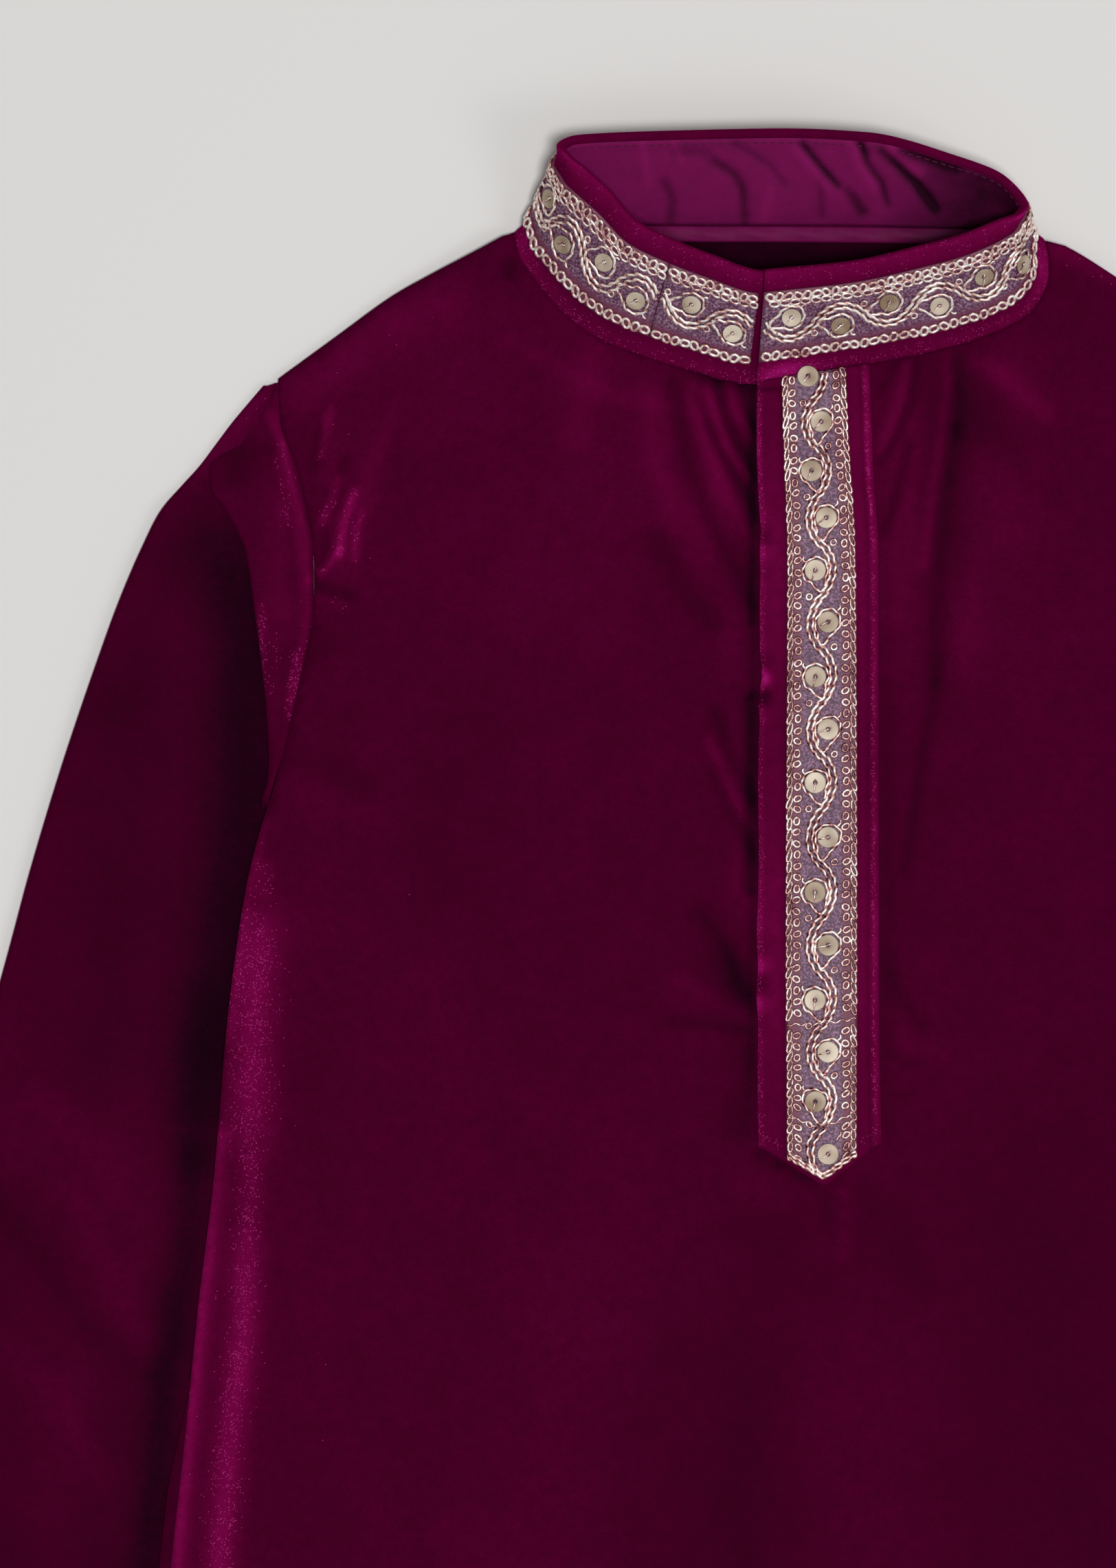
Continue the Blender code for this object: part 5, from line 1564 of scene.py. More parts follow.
@dataclass
class Placket:
    """The flap down the middle of the front, and the button side that it hides."""

    cloth: float = 1.1
    tip_from: float = 0.88
    puckers: tuple = ((1.6, -131, 7), (0.8, -216, 12), (0.6, -88, 8))
    # Patches of painted highlight and painted glints along both edges
    edge_glint_patches: tuple = (((1, 0.02, 0.022), (1, -60, 12)), ((1, 0.955, 0.012), (1, -67, 9)))
    pucker_run: float = 0.16
    turned_edges: tuple = ((0.7, 0.035), (0.95, 0.045), (0.6, 0.008))
    stitch_line: tuple = (0.25, 0.93, 0.012)
    pucker_rise: Pair = (0.35, 2.1)
    pucker_aside: tuple = (0.45, 3.4, 0.8)
    edge_aside: Pair = (0.18, 7.7)
    plain_tone: float = 0.18
    # Painted sheen along the free edge and the sewn seam, painted shade just inside that seam, and painted
    # shading with the puckers
    edge_tones: tuple = ((0.16, 0.01, 0.03), (-0.10, 0.91, 0.012))
    seam_tone: tuple = (0.16, 0.965, 0.018)
    seam_uneven: tuple = (0.6, 0.4, 5.3, 2.9)
    glint_patch_light: Pair = (0.13, 0.6)
    pucker_tone: Pair = (0.30, 1.9)
    slow_tone: Pair = (0.05, 17.0)
    bright_stretch: tuple = (0.10, -52, 16)
    bright_side: Pair = (0.75, 0.2)
    dark_line: tuple = (0.22, -44.6, 0.6)
    dark_line_to: float = 0.25
    # Painted glints along both edges and at the tip
    glint_bands: tuple = ((0.9, 0.02, 0.025), (1.0, 0.955, 0.014))
    glint_end: tuple = (0.5, 0.985, 0.006)
    across_parts: tuple = ((0.0, 0.09, 10), (0.09, 0.9, 30), (0.9, 1.0, 12))
    down_steps: int = 230
    under_steps: tuple[int, int] = (90, 7)
    under_clear: float = 0.1
    border_steps: tuple[int, int] = (400, 17)
    flat_cut: Size = (36.0, 239.0)
    under_cut: Size = (12.5, 187.0)

    def at(self, across: Array, down: Array, out: Numbers = 0.0) -> Array:
        """Points of the flap: across from 0 at its free edge to 1, down from 0 at the neck to 1.

        Args:
            across: shares across.
            down: shares down.
            out: distance above the flap.

        Returns:
            The points of the lay.
        """
        middle_y = FLAP_TOP_Y + (FLAP_CORNER_Y - FLAP_TOP_Y) * down
        left, right = FLAP.at(middle_y, "left"), FLAP.at(middle_y, "right")
        x = left + (right - left) * across
        top_y = FLAP_TOP_Y + (x - FLAP_TOP_X) * FLAP_TOP_SLOPE - NECK_SEAM
        tip = FLAP_TIP * (1 - np.abs(across - FLAP_TIP_ACROSS) / FLAP_TIP_ACROSS)
        past_tip = np.clip((across - FLAP_TIP_ACROSS) / FLAP_TIP_ACROSS, 0, 1)
        corner = FLAP_CORNER_Y + FLAP_CORNER_RISE * past_tip
        in_tip = np.clip((down - self.tip_from) / (1 - self.tip_from), 0, 1)
        y = top_y + (corner - top_y) * down - tip * in_tip
        droop = FLAP_DROOP * smooth((FLAP_DROOP_WIDTH - across) / FLAP_DROOP_WIDTH) * LAY.below_flap(y)
        return np.column_stack([x, y, LAY.front_height(x, y) + PITCH - droop + out])

    def grid(self, across: Array, down: Array, out: float) -> Array:
        """A grid of points of the flap."""
        rows, columns = np.meshgrid(down, across, indexing="ij")
        return self.at(columns.ravel(), rows.ravel(), out).reshape(len(down), len(across), 3)

    def mesh(self) -> Mesh:
        """The flap's surface, its edges turned down and its free edge puckered.

        Returns:
            The surface, with its nap and painted shading.
        """
        across = np.unique(np.concatenate([np.linspace(*part) for part in self.across_parts]))
        down = np.linspace(0, 1, self.down_steps)
        points = self.grid(across, down, 0.0)
        rows, columns = points.shape[:2]
        x, y, z = points.reshape(-1, 3).T
        edge, below = np.tile(across, rows), np.repeat(down, columns)
        near_edge = smooth((self.pucker_run - edge) / self.pucker_run)
        pucker = near_edge * bells(y, *self.puckers)
        marks = self.marks(edge, below, y, pucker)
        free, sewn, end = [depth * smooth((run - away) / run) for (depth, run), away in
                           zip(self.turned_edges, (edge, 1 - edge, 1 - below))]
        rise, rise_run = self.pucker_rise
        z = z + rise * np.sin(y / rise_run) * pucker - near_edge * free - sewn - end
        z = z - bells(edge, self.stitch_line)
        aside, aside_run, aside_start = self.pucker_aside
        x = x + aside * np.sin(y / aside_run + aside_start) * pucker
        x = x + self.edge_aside[0] * near_edge * np.sin(y / self.edge_aside[1])
        return Mesh(to_model(x, y, z), grid_faces(rows, columns), marks).facing_up()

    def marks(self, edge: Array, below: Array, y: Array, pucker: Array) -> dict[str, Array]:
        """The nap's tone and glitter on the flap: painted sheen and painted glints along its edges, painted
        shade inside its sewn seam and with its puckers.

        Args:
            edge: share across the flap.
            below: share down it.
            y: places along the lay.
            pucker: how much its free edge is puckered.

        Returns:
            The two named numbers that the velvet's finish reads.
        """
        # Patches of painted highlight and painted glints along the edges
        glint_patch = sum(bells(edge, across) * bells(y, down) for across, down in self.edge_glint_patches)
        even, swing, slow, quick = self.seam_uneven
        seam = (even + swing * np.sin(y / slow) * np.sin(y / quick + 1)) * bells(edge, self.seam_tone)
        tone = self.plain_tone + bells(edge, *self.edge_tones) + self.glint_patch_light[0] * glint_patch
        tone += seam + self.pucker_tone[0] * np.sin(y / self.pucker_tone[1]) * pucker
        start, run = self.bright_side
        bright = bells(y, self.bright_stretch) * smooth((edge - start) / run)
        tone += self.slow_tone[0] * np.sin(y / self.slow_tone[1] + 1) + bright
        tone -= bells(y, self.dark_line) * (edge < self.dark_line_to)
        glitter = bells(edge, *self.glint_bands) + self.glint_patch_light[1] * glint_patch
        glitter = np.clip(glitter + bells(below, self.glint_end), 0, 1)
        return {"nap_tone": tone, "nap_glitter": glitter}

    def under(self) -> Mesh:
        """The button side, a plain strip below the flap.

        Returns:
            The surface.
        """
        down = np.linspace(BUTTON_SIDE_TOP_Y, PLACKET_SLIT_Y + BUTTON_SIDE_SHORT, self.under_steps[0])
        last_x = PLACKET_SLIT_X - PLACKET_SLIT_WIDTH / 2 - self.under_clear
        across = np.linspace(BUTTON_SIDE_X, last_x, self.under_steps[1])
        y, x = [grid.ravel() for grid in np.meshgrid(down, across, indexing="ij")]
        z = LAY.panel_height(x, y) + PITCH
        return Mesh(to_model(x, y, z), grid_faces(len(down), len(across))).facing_up()

    def border_face(self) -> Ribbon:
        """The face that the flap's border is sewn on.

        Returns:
            The strip.
        """
        rows, columns = self.border_steps
        down = np.linspace(0, FLAP_BORDER_END, rows)
        middle_y = FLAP_TOP_Y + (FLAP_CORNER_Y - FLAP_TOP_Y) * down
        left, right = [FLAP.at(middle_y, side) for side in ("left", "right")]
        first, last = [(FLAP_BORDER.at(middle_y, side) - left) / (right - left) for side in ("left", "right")]
        across = first[:, None] + (last - first)[:, None] * np.linspace(0, 1, columns)
        points = self.at(across.ravel(), np.repeat(down, columns), OUT_OF_VELVET)
        return Ribbon(points.reshape(*across.shape, 3))

    def build(self, maker: Maker, velvet: Material) -> None:
        """Args:
            maker: makes the pieces.
            velvet: the finish.
        """
        maker.cloth("Placket_flap", self.mesh(), velvet, Slot.VELVET, "placket_over", self.cloth,
                    self.flat_cut, ["Front_panel"])
        maker.cloth("Placket_button_side", self.under(), velvet, Slot.VELVET, "placket_under", CLOTH,
                    self.under_cut, ["Front_panel"])


def tube(path: Array, normals: Array, radius: float, sides: int, lobes: float = 0.0,
         closed: bool = False) -> Mesh:
    """A round or two-ply cord along a path.

    Args:
        path: its middle line, in millimetres of the lay.
        normals: the way up at each point.
        radius: of the cord.
        sides: points round it.
        lobes: share of the radius by which its two plies stand out.
        closed: whether its end joins its start.

    Returns:
        The cord's surface, with its painted light at each point: lighter on top and on the plies' crests,
        darker below and in the grooves.
    """
    if closed:
        run = np.roll(path, -1, axis=0) - np.roll(path, 1, axis=0)
    else:
        run = np.gradient(path, axis=0)
    run = run / np.linalg.norm(run, axis=1)[:, None]
    sideways = np.cross(normals, run)
    sideways /= np.linalg.norm(sideways, axis=1)[:, None]
    upright = np.cross(run, sideways)
    angle = whole_turn(sides)
    plies = np.cos(2 * (angle[None, :] - math.pi * run_lengths(path)[:, None] / PLY_TURN))
    reach = (radius * (1 + lobes * plies))[..., None]
    ring = np.cos(angle)[None, :, None] * sideways[:, None] + np.sin(angle)[None, :, None] * upright[:, None]
    points = (path[:, None] + ring * reach).reshape(-1, 3)
    # Painted light: lighter on top of the cord and on its plies' crests, darker below and in the grooves
    crest = (0.5 + 0.5 * np.sin(angle)[None, :]) * (CORD_CREST + PLY_CREST * plies if lobes else RING_CREST)
    crest = np.broadcast_to(crest, plies.shape)
    rows = len(path)
    faces = grid_faces(rows, sides, closed=True)
    if closed:
        last, first = np.arange(sides) + (rows - 1) * sides, np.arange(sides)
        faces = np.vstack([faces, np.column_stack([last, np.roll(last, -1), np.roll(first, -1), first])])
    return Mesh(to_model(*points.T), faces, {"crest": crest.ravel()})


def gathered(meshes: Sequence[Mesh]) -> Mesh:
    """Several surfaces as one, with the numbers that all of them carry.

    Args:
        meshes: the surfaces.

    Returns:
        The one surface.
    """
    counts = np.cumsum([0] + [len(mesh.vertices) for mesh in meshes])
    faces = np.vstack([mesh.faces + start for mesh, start in zip(meshes, counts)])
    marks = {key: np.concatenate([mesh.marks[key] for mesh in meshes]) for key in meshes[0].marks}
    return Mesh(np.vstack([mesh.vertices for mesh in meshes]), faces, marks)


@dataclass
class Border:
    """A zari border: a chain and a column of rings at each edge, and a vine with a sequin in every bend."""

    name: str
    node: str
    face: Ribbon
    places: Sequence[float]
    flat_cut: Size
    rests_on: str
    first_side: int = -1
    pointed: bool = False
    joints: tuple[float, ...] = ()
    joint_clear: Pair = (0.9, 1.1)
    bend: float = 3.4
    cord: float = 0.6
    cord_lobes: float = 0.17
    cord_rise: float = 0.42
    cord_sides: int = 9
    vine_gap: float = 1.55
    vine_step: float = 0.3
    vine_ends: Pair = (0.25, 0.2)
    vine_fine: float = 0.2
    vine_flat: float = 0.8
    chain_in: float = 1.1
    chain_pitch: float = 3.1
    chain_sides: tuple[int, ...] = (-1, 1)
    chain_half: Pair = (1.85, 0.62)
    chain_wire: float = 0.34
    chain_lean: Pair = (15.0, 7.0)
    chain_rise: Pair = (0.42, 0.22)
    chain_margin: float = 0.9
    link_points: int = 11
    wire_sides: int = 6
    ring_in: float = 3.3
    ring: float = 0.95
    ring_wire: float = 0.4
    ring_sway: float = 0.2
    ring_uneven: float = 0.16
    ring_pitch: float = 3.3
    ring_rise: float = 0.28
    ring_margin: float = 1.6
    ring_points: int = 14
    ring_turn: float = 2.1
    sequin: float = 3.1
    sequin_off: float = 1.85
    sequin_profile: tuple = ((0.23, 0.35), (0.27, 0.42), (0.6, 0.46), (0.93, 0.6), (1.0, 0.56), (0.93, 0.48),
                             (0.6, 0.34), (0.27, 0.3), (0.23, 0.35))
    sequin_rise: float = 0.16
    sequin_tilt: Pair = (0.05, 0.03)
    sequin_turn: float = 2.4
    sequin_ahead: float = 0.5
    sequin_points: int = 32
    loop: float = 3.75
    loop_cord: float = 0.5
    loop_rise: float = 0.36
    loop_lobes: float = 0.16
    loop_uneven: float = 0.03
    loop_sides: int = 8
    loop_points: int = 78
    tail_at: float = 0.3
    tail_out: Pair = (0.8, 0.36)
    stub_from: Pair = (-2.6, 2.6)
    stub_run: Pair = (-1.7, 1.1)
    stub_wire: float = 0.4
    stub_bend: float = 2.2
    stub_rise: float = 0.34
    stub_lobes: float = 0.2
    stub_points: int = 10
    curl: float = 0.85
    curl_at: Pair = (7.5, 3.7)
    curl_wire: float = 0.36
    curl_rise: float = 0.3
    curl_clear: float = 1.5
    curl_points: int = 16
    thread_way: float = 315.0
    thread_wire: float = 0.23
    thread_spread: float = 40.0
    thread_rise: tuple = (0.62, 0.35, 0.25)
    thread_stitches: tuple = ((1.1, 0.0), (0.32, 185.0))
    thread_sides: int = 5
    thread_points: int = 9
    knot: float = 0.2
    knot_wire: float = 0.26
    knot_rise: float = 0.66
    knot_points: int = 10
    plain_lobes: float = 0.01
    joint_wire: float = 0.3
    joint_wave: Pair = (0.35, 1.9)
    joint_rise: float = 0.25
    end_cords: Pair = (0.7, 1.9)
    end_rise: float = 0.4
    end_clear: float = 0.5
    end_points: int = 90
    weave: tuple = (0.04, 2.4, 2.1)
    weave_step: float = 1.2
    weave_least: int = 4
    weave_columns: int = 22
    top: float = TRIM_CLOTH / 2

    def sides(self) -> list[tuple[int, float, int]]:
        """Each sequin's turn, where it is along the border, and its side."""
        return [(turn, place, self.first_side * (-1) ** turn) for turn, place in enumerate(self.places)]

    def line(self, along: Array, across: Array, out: Numbers) -> tuple[Array, Array]:
        """A line over the border's face."""
        return self.face.place(along, across, self.top + out)

    def worked(self, along: Array, across: Array, out: Numbers, radius: float, sides: int, lobes: float = 0.0,
               closed: bool = False) -> Mesh:
        """A cord over the border's face."""
        points, normals = self.line(along, across, out)
        return tube(points, normals, radius, sides, lobes, closed=closed)

    def eye(self, place: float, middle: float, reach: Array, rise: float, wire: float,
            lobes: float = 0.0) -> Mesh:
        """A small ring of cord.

        Args:
            place: of its middle, along the border.
            middle: the same, across the border.
            reach: from there to the cord, all round.
            rise: height above the border.
            wire: the cord's radius.
            lobes: share of the radius by which its plies stand out.

        Returns:
            The ring's surface.
        """
        angle = whole_turn(len(reach))
        along, across = place + reach * np.cos(angle), middle + reach * np.sin(angle)
        return self.worked(along, across, rise, wire, self.wire_sides, lobes, closed=True)

    def stations(self, margin: float, pitch: float, clear: float) -> list[tuple[int, float]]:
        """Even places along the border, each with its turn, but none beside a joint.

        Args:
            margin: distance left free at both ends.
            pitch: distance between places.
            clear: distance left free beside a joint.

        Returns:
            Turns and places.
        """
        places = enumerate(np.arange(margin, self.face.length - margin, pitch))
        return [(turn, place) for turn, place in places
                if all(abs(place - joint) > clear for joint in self.joints)]

    def chains(self) -> list[Mesh]:
        """The chain of small links along both edges, each link crossing the next.

        Returns:
            A surface for each link.
        """
        made = []
        angle = whole_turn(self.link_points)
        long, short = self.chain_half[0] * np.cos(angle), self.chain_half[1] * np.sin(angle)
        rise = self.chain_rise[0] + self.chain_rise[1] * np.cos(angle)
        for side in self.chain_sides:
            middle = side * (self.face.width / 2 - self.chain_in)
            for turn, place in self.stations(self.chain_margin, self.chain_pitch, self.joint_clear[0]):
                lean = math.radians(self.chain_lean[0] * side + self.chain_lean[1] * uneven(turn, 4.7, side))
                along = place + long * math.cos(lean) - short * math.sin(lean)
                across = middle + long * math.sin(lean) + short * math.cos(lean)
                made.append(self.worked(along, across, rise, self.chain_wire, self.wire_sides,
                                        closed=True))
        return made

    def rings(self) -> list[Mesh]:
        """The columns of rings beside the chains.

        Returns:
            A surface for each ring.
        """
        made = []
        twice = 2 * whole_turn(self.ring_points)
        for side in (-1, 1):
            middle = side * (self.face.width / 2 - self.ring_in)
            for turn, place in self.stations(self.ring_margin, self.ring_pitch, self.joint_clear[1]):
                reach = self.ring * (1 + self.ring_uneven * np.cos(twice + self.ring_turn * turn))
                made.append(self.eye(place + self.ring_sway * uneven(turn, 3.1, side),
                                     middle + self.ring_uneven * uneven(turn, 5.3), reach, self.ring_rise,
                                     self.ring_wire))
        return made

    def vine_across(self, along: Array) -> Array:
        """Where the vine's middle is across the border: opposite each sequin, and crossing between them.

        Args:
            along: places along the border.

        Returns:
            The distance from the border's middle line at each.
        """
        places = np.concatenate([[2 * self.places[0] - self.places[1]], self.places,
                                 [2 * self.places[-1] - self.places[-2]]])
        phase = np.interp(along, places, np.arange(len(places)) - 1.0)
        phase = np.where(along > places[-1], len(places) - 2.0, phase)
        wave = np.cos(math.pi * phase)
        return -self.first_side * self.bend * np.sign(wave) * np.abs(wave) ** self.vine_flat

    def vine(self) -> list[Mesh]:
        """The vine's two twisted cords, side by side.

        Returns:
            A surface for each length of cord.
        """
        step, (ends, clear) = self.vine_step, self.vine_ends
        along = np.linspace(step, self.face.length - step, int(self.face.length / self.vine_fine))
        plan = np.column_stack([along, self.vine_across(along)])
        cuts = [ends, *self.joints, self.face.length - ends]
        cords = []
        for shift in (-self.vine_gap / 2, self.vine_gap / 2):
            moved = resample(offset_line(plan, shift), step)
            for start, stop in zip(cuts[:-1], cuts[1:]):
                along, across = moved[(moved[:, 0] > start + clear) & (moved[:, 0] < stop - clear)].T
                cords.append(self.worked(along, across, self.cord_rise, self.cord, self.cord_sides,
                                         self.cord_lobes))
        return cords

    def loops(self) -> list[Mesh]:
        """A drawn-out loop of cord about each sequin, a stub where it starts, and a curl after it.

        Returns:
            A surface for each length of cord.
        """
        made = []
        angle, share = whole_turn(self.loop_points), np.linspace(0, 1, self.stub_points)
        from_tail = np.abs((angle + self.tail_at + math.pi) % (2 * math.pi) - math.pi)
        tail = self.tail_out[0] * bell(from_tail, self.tail_out[1])
        for turn, place, side in self.sides():
            reach = self.loop * (1 + tail + self.loop_uneven * np.sin(3 * angle + turn))
            along, across = place + reach * np.cos(angle), self.sequin_off + reach * np.sin(angle)
            if along.min() > self.vine_step and along.max() < self.face.length - self.vine_step:
                made.append(self.worked(along, side * across, self.loop_rise, self.loop_cord,
                                        self.loop_sides, self.loop_lobes, closed=True))
            along = place + self.stub_from[0] + self.stub_run[0] * share
            if along[-1] > self.stub_wire:
                bend = self.stub_run[1] * np.sin(self.stub_bend * share)
                across = self.sequin_off + self.stub_from[1] + bend
                made.append(self.worked(along, side * across, self.stub_rise, self.stub_wire,
                                        self.wire_sides, self.stub_lobes))
            middle = place + self.curl_at[0]
            if middle < self.face.length - self.curl_clear:
                reach = np.full(self.curl_points, self.curl)
                made.append(self.eye(middle, side * self.curl_at[1], reach, self.curl_rise, self.curl_wire))
        return made

    def sequins(self) -> list[Mesh]:
        """Slightly cupped discs with a hole, each one tilted a little.

        Returns:
            A surface for each sequin.
        """
        made = []
        angle = whole_turn(self.sequin_points)
        for turn, place, side in self.sides():
            tilt = self.sequin_tilt[0] + self.sequin_tilt[1] * uneven(turn, 5.1)
            towards = self.sequin_turn * turn
            pair, normals = self.line(np.array([place, place + self.sequin_ahead]),
                                      np.full(2, side * self.sequin_off), 0.0)
            middle, upright, ahead = pair[0], normals[0], pair[1] - pair[0]
            ahead = ahead - upright * (ahead @ upright)
            ahead /= np.linalg.norm(ahead)
            sideways = np.cross(upright, ahead)
            rings = []
            for share, height in self.sequin_profile:
                reach = self.sequin * share
                rise = height + tilt * reach * np.cos(angle - towards) + self.sequin_rise
                rings.append(middle + np.outer(reach * np.cos(angle), ahead)
                             + np.outer(reach * np.sin(angle), sideways) + np.outer(rise, upright))
            points = np.concatenate(rings)
            made.append(Mesh(to_model(*points.T), grid_faces(len(rings), len(angle), closed=True)))
        return made

    def threads(self) -> list[Mesh]:
        """The thread that holds each sequin: a stitch to its edge, a short one opposite and a knot.

        Returns:
            A surface for each stitch and knot.
        """
        made = []
        share = np.linspace(0, 1, self.thread_points)
        start, arch, fall = self.thread_rise
        rise = start + arch * np.sin(math.pi * share) - fall * share
        for turn, place, side in self.sides():
            way, middle = self.thread_way + self.thread_spread * uneven(turn, 3.3), side * self.sequin_off
            for length, further in self.thread_stitches:
                angle = math.radians(way + further)
                reach = self.sequin * length * share
                along, across = place + reach * math.cos(angle), middle + reach * math.sin(angle)
                made.append(self.worked(along, across, rise, self.thread_wire, self.thread_sides,
                                        self.plain_lobes))
            reach = np.full(self.knot_points, self.knot)
            made.append(self.eye(place, middle, reach, self.knot_rise, self.knot_wire, self.plain_lobes))
        return made

    def ends(self) -> list[Mesh]:
        """The cords that close a pointed end, and the turned-in thread across each joint.

        Returns:
            A surface for each cord.
        """
        half, (sway, bends) = self.face.width / 2, self.joint_wave
        across = np.linspace(-half + self.end_clear, half - self.end_clear, self.end_points)
        made = [self.worked(joint + sway * np.sin(bends * across), across, self.joint_rise, self.joint_wire,
                            self.wire_sides) for joint in self.joints]
        for back in self.end_cords if self.pointed else ():
            along = np.full_like(across, self.face.length - back)
            made.append(self.worked(along, across, self.end_rise, self.cord, self.cord_sides,
                                    self.cord_lobes))
        return made

    def ground(self) -> Mesh:
        """The border's cloth, woven a little uneven.

        Returns:
            The surface.
        """
        height, lengthwise, crosswise = self.weave
        rows = max(self.weave_least, int(self.face.length / self.weave_step))
        return self.face.surface(
            (rows, self.weave_columns),
            lambda along, across: height * np.sin(along * lengthwise) * np.sin(across * crosswise))

    def worked_on(self, maker: Maker, metal: Material, sequin: Material) -> list[bpy.types.Object]:
        """Make what is worked on the border.

        Args:
            maker: makes the pieces.
            metal: finish of the cords.
            sequin: finish of the sequins.

        Returns:
            The new pieces.
        """
        parts = {
            "vine": (self.vine() + self.ends(), metal), "loops": (self.loops(), metal),
            "chains": (self.chains(), metal), "rings": (self.rings(), metal),
            "sequins": (self.sequins(), sequin), "threads": (self.threads(), metal)}
        return [maker.piece(f"Border_{self.name}_{key}", gathered(meshes), finish, Slot.BORDER)
                for key, (meshes, finish) in parts.items()]

    def build(self, maker: Maker, tissue: Material, metal: Material, sequin: Material) -> None:
        """Args:
            maker: makes the pieces.
            tissue: finish of the ground.
            metal: finish of the cords.
            sequin: finish of the sequins.
        """
        maker.cloth(f"Border_{self.name}", self.ground(), tissue, Slot.BORDER, self.node, TRIM_CLOTH,
                    self.flat_cut, [self.rests_on], lambda: self.worked_on(maker, metal, sequin))


@dataclass
class Stitching:
    """Rows of small stitches, which hold the lining to the velvet."""

    length: float = 1.5
    gap: float = 1.0
    thread: float = 0.22
    arch: Pair = (0.22, 0.12)
    steps: int = 6
    sides: int = 5

    def row(self, path: Array, normals: Array) -> list[Mesh]:
        """Stitches along a path.

        Args:
            path: the seam's line.
            normals: the way up along it.

        Returns:
            A surface for each stitch.
        """
        lengths, share = run_lengths(path), np.linspace(0, 1, self.steps)
        rise = self.arch[0] * np.sin(math.pi * share) - self.arch[1]
        made = []
        for start in np.arange(self.gap / 2, lengths[-1] - self.length, self.length + self.gap):
            points, way = [along_line(line, lengths, start + self.length * share) for line in (path, normals)]
            made.append(tube(points + way * rise[:, None], way, self.thread, self.sides))
        return made


class Value:
    """A socket that can be used in sums; each step adds a Math node."""

    def __init__(self, tree: "Tree", socket: bpy.types.NodeSocket) -> None:
        """Wrap a node's output.

        Args:
            tree: the nodes it belongs to.
            socket: the output.
        """
        self.tree = tree
        self.socket = socket

    def math(self, operation: str, first: "Value | float", second: "Value | float") -> "Value":
        """One step of arithmetic."""
        return self.tree.node("ShaderNodeMath", {"operation": operation}, {0: first, 1: second})

    def __add__(self, other: "Value | float") -> "Value":
        """Sum."""
        return self.math("ADD", self, other)

    def __radd__(self, other: float) -> "Value":
        """Sum with a number first."""
        return self.math("ADD", other, self)

    def __sub__(self, other: "Value | float") -> "Value":
        """Difference."""
        return self.math("SUBTRACT", self, other)

    def __rsub__(self, other: float) -> "Value":
        """Difference from a number."""
        return self.math("SUBTRACT", other, self)

    def __mul__(self, other: "Value | float") -> "Value":
        """Product."""
        return self.math("MULTIPLY", self, other)

    def __rmul__(self, other: float) -> "Value":
        """Product with a number first."""
        return self.math("MULTIPLY", other, self)

    def __lt__(self, other: "Value | float") -> "Value":
        """1 where it is less, otherwise 0."""
        return self.math("LESS_THAN", self, other)

    def __gt__(self, other: "Value | float") -> "Value":
        """1 where it is more, otherwise 0."""
        return self.math("GREATER_THAN", self, other)


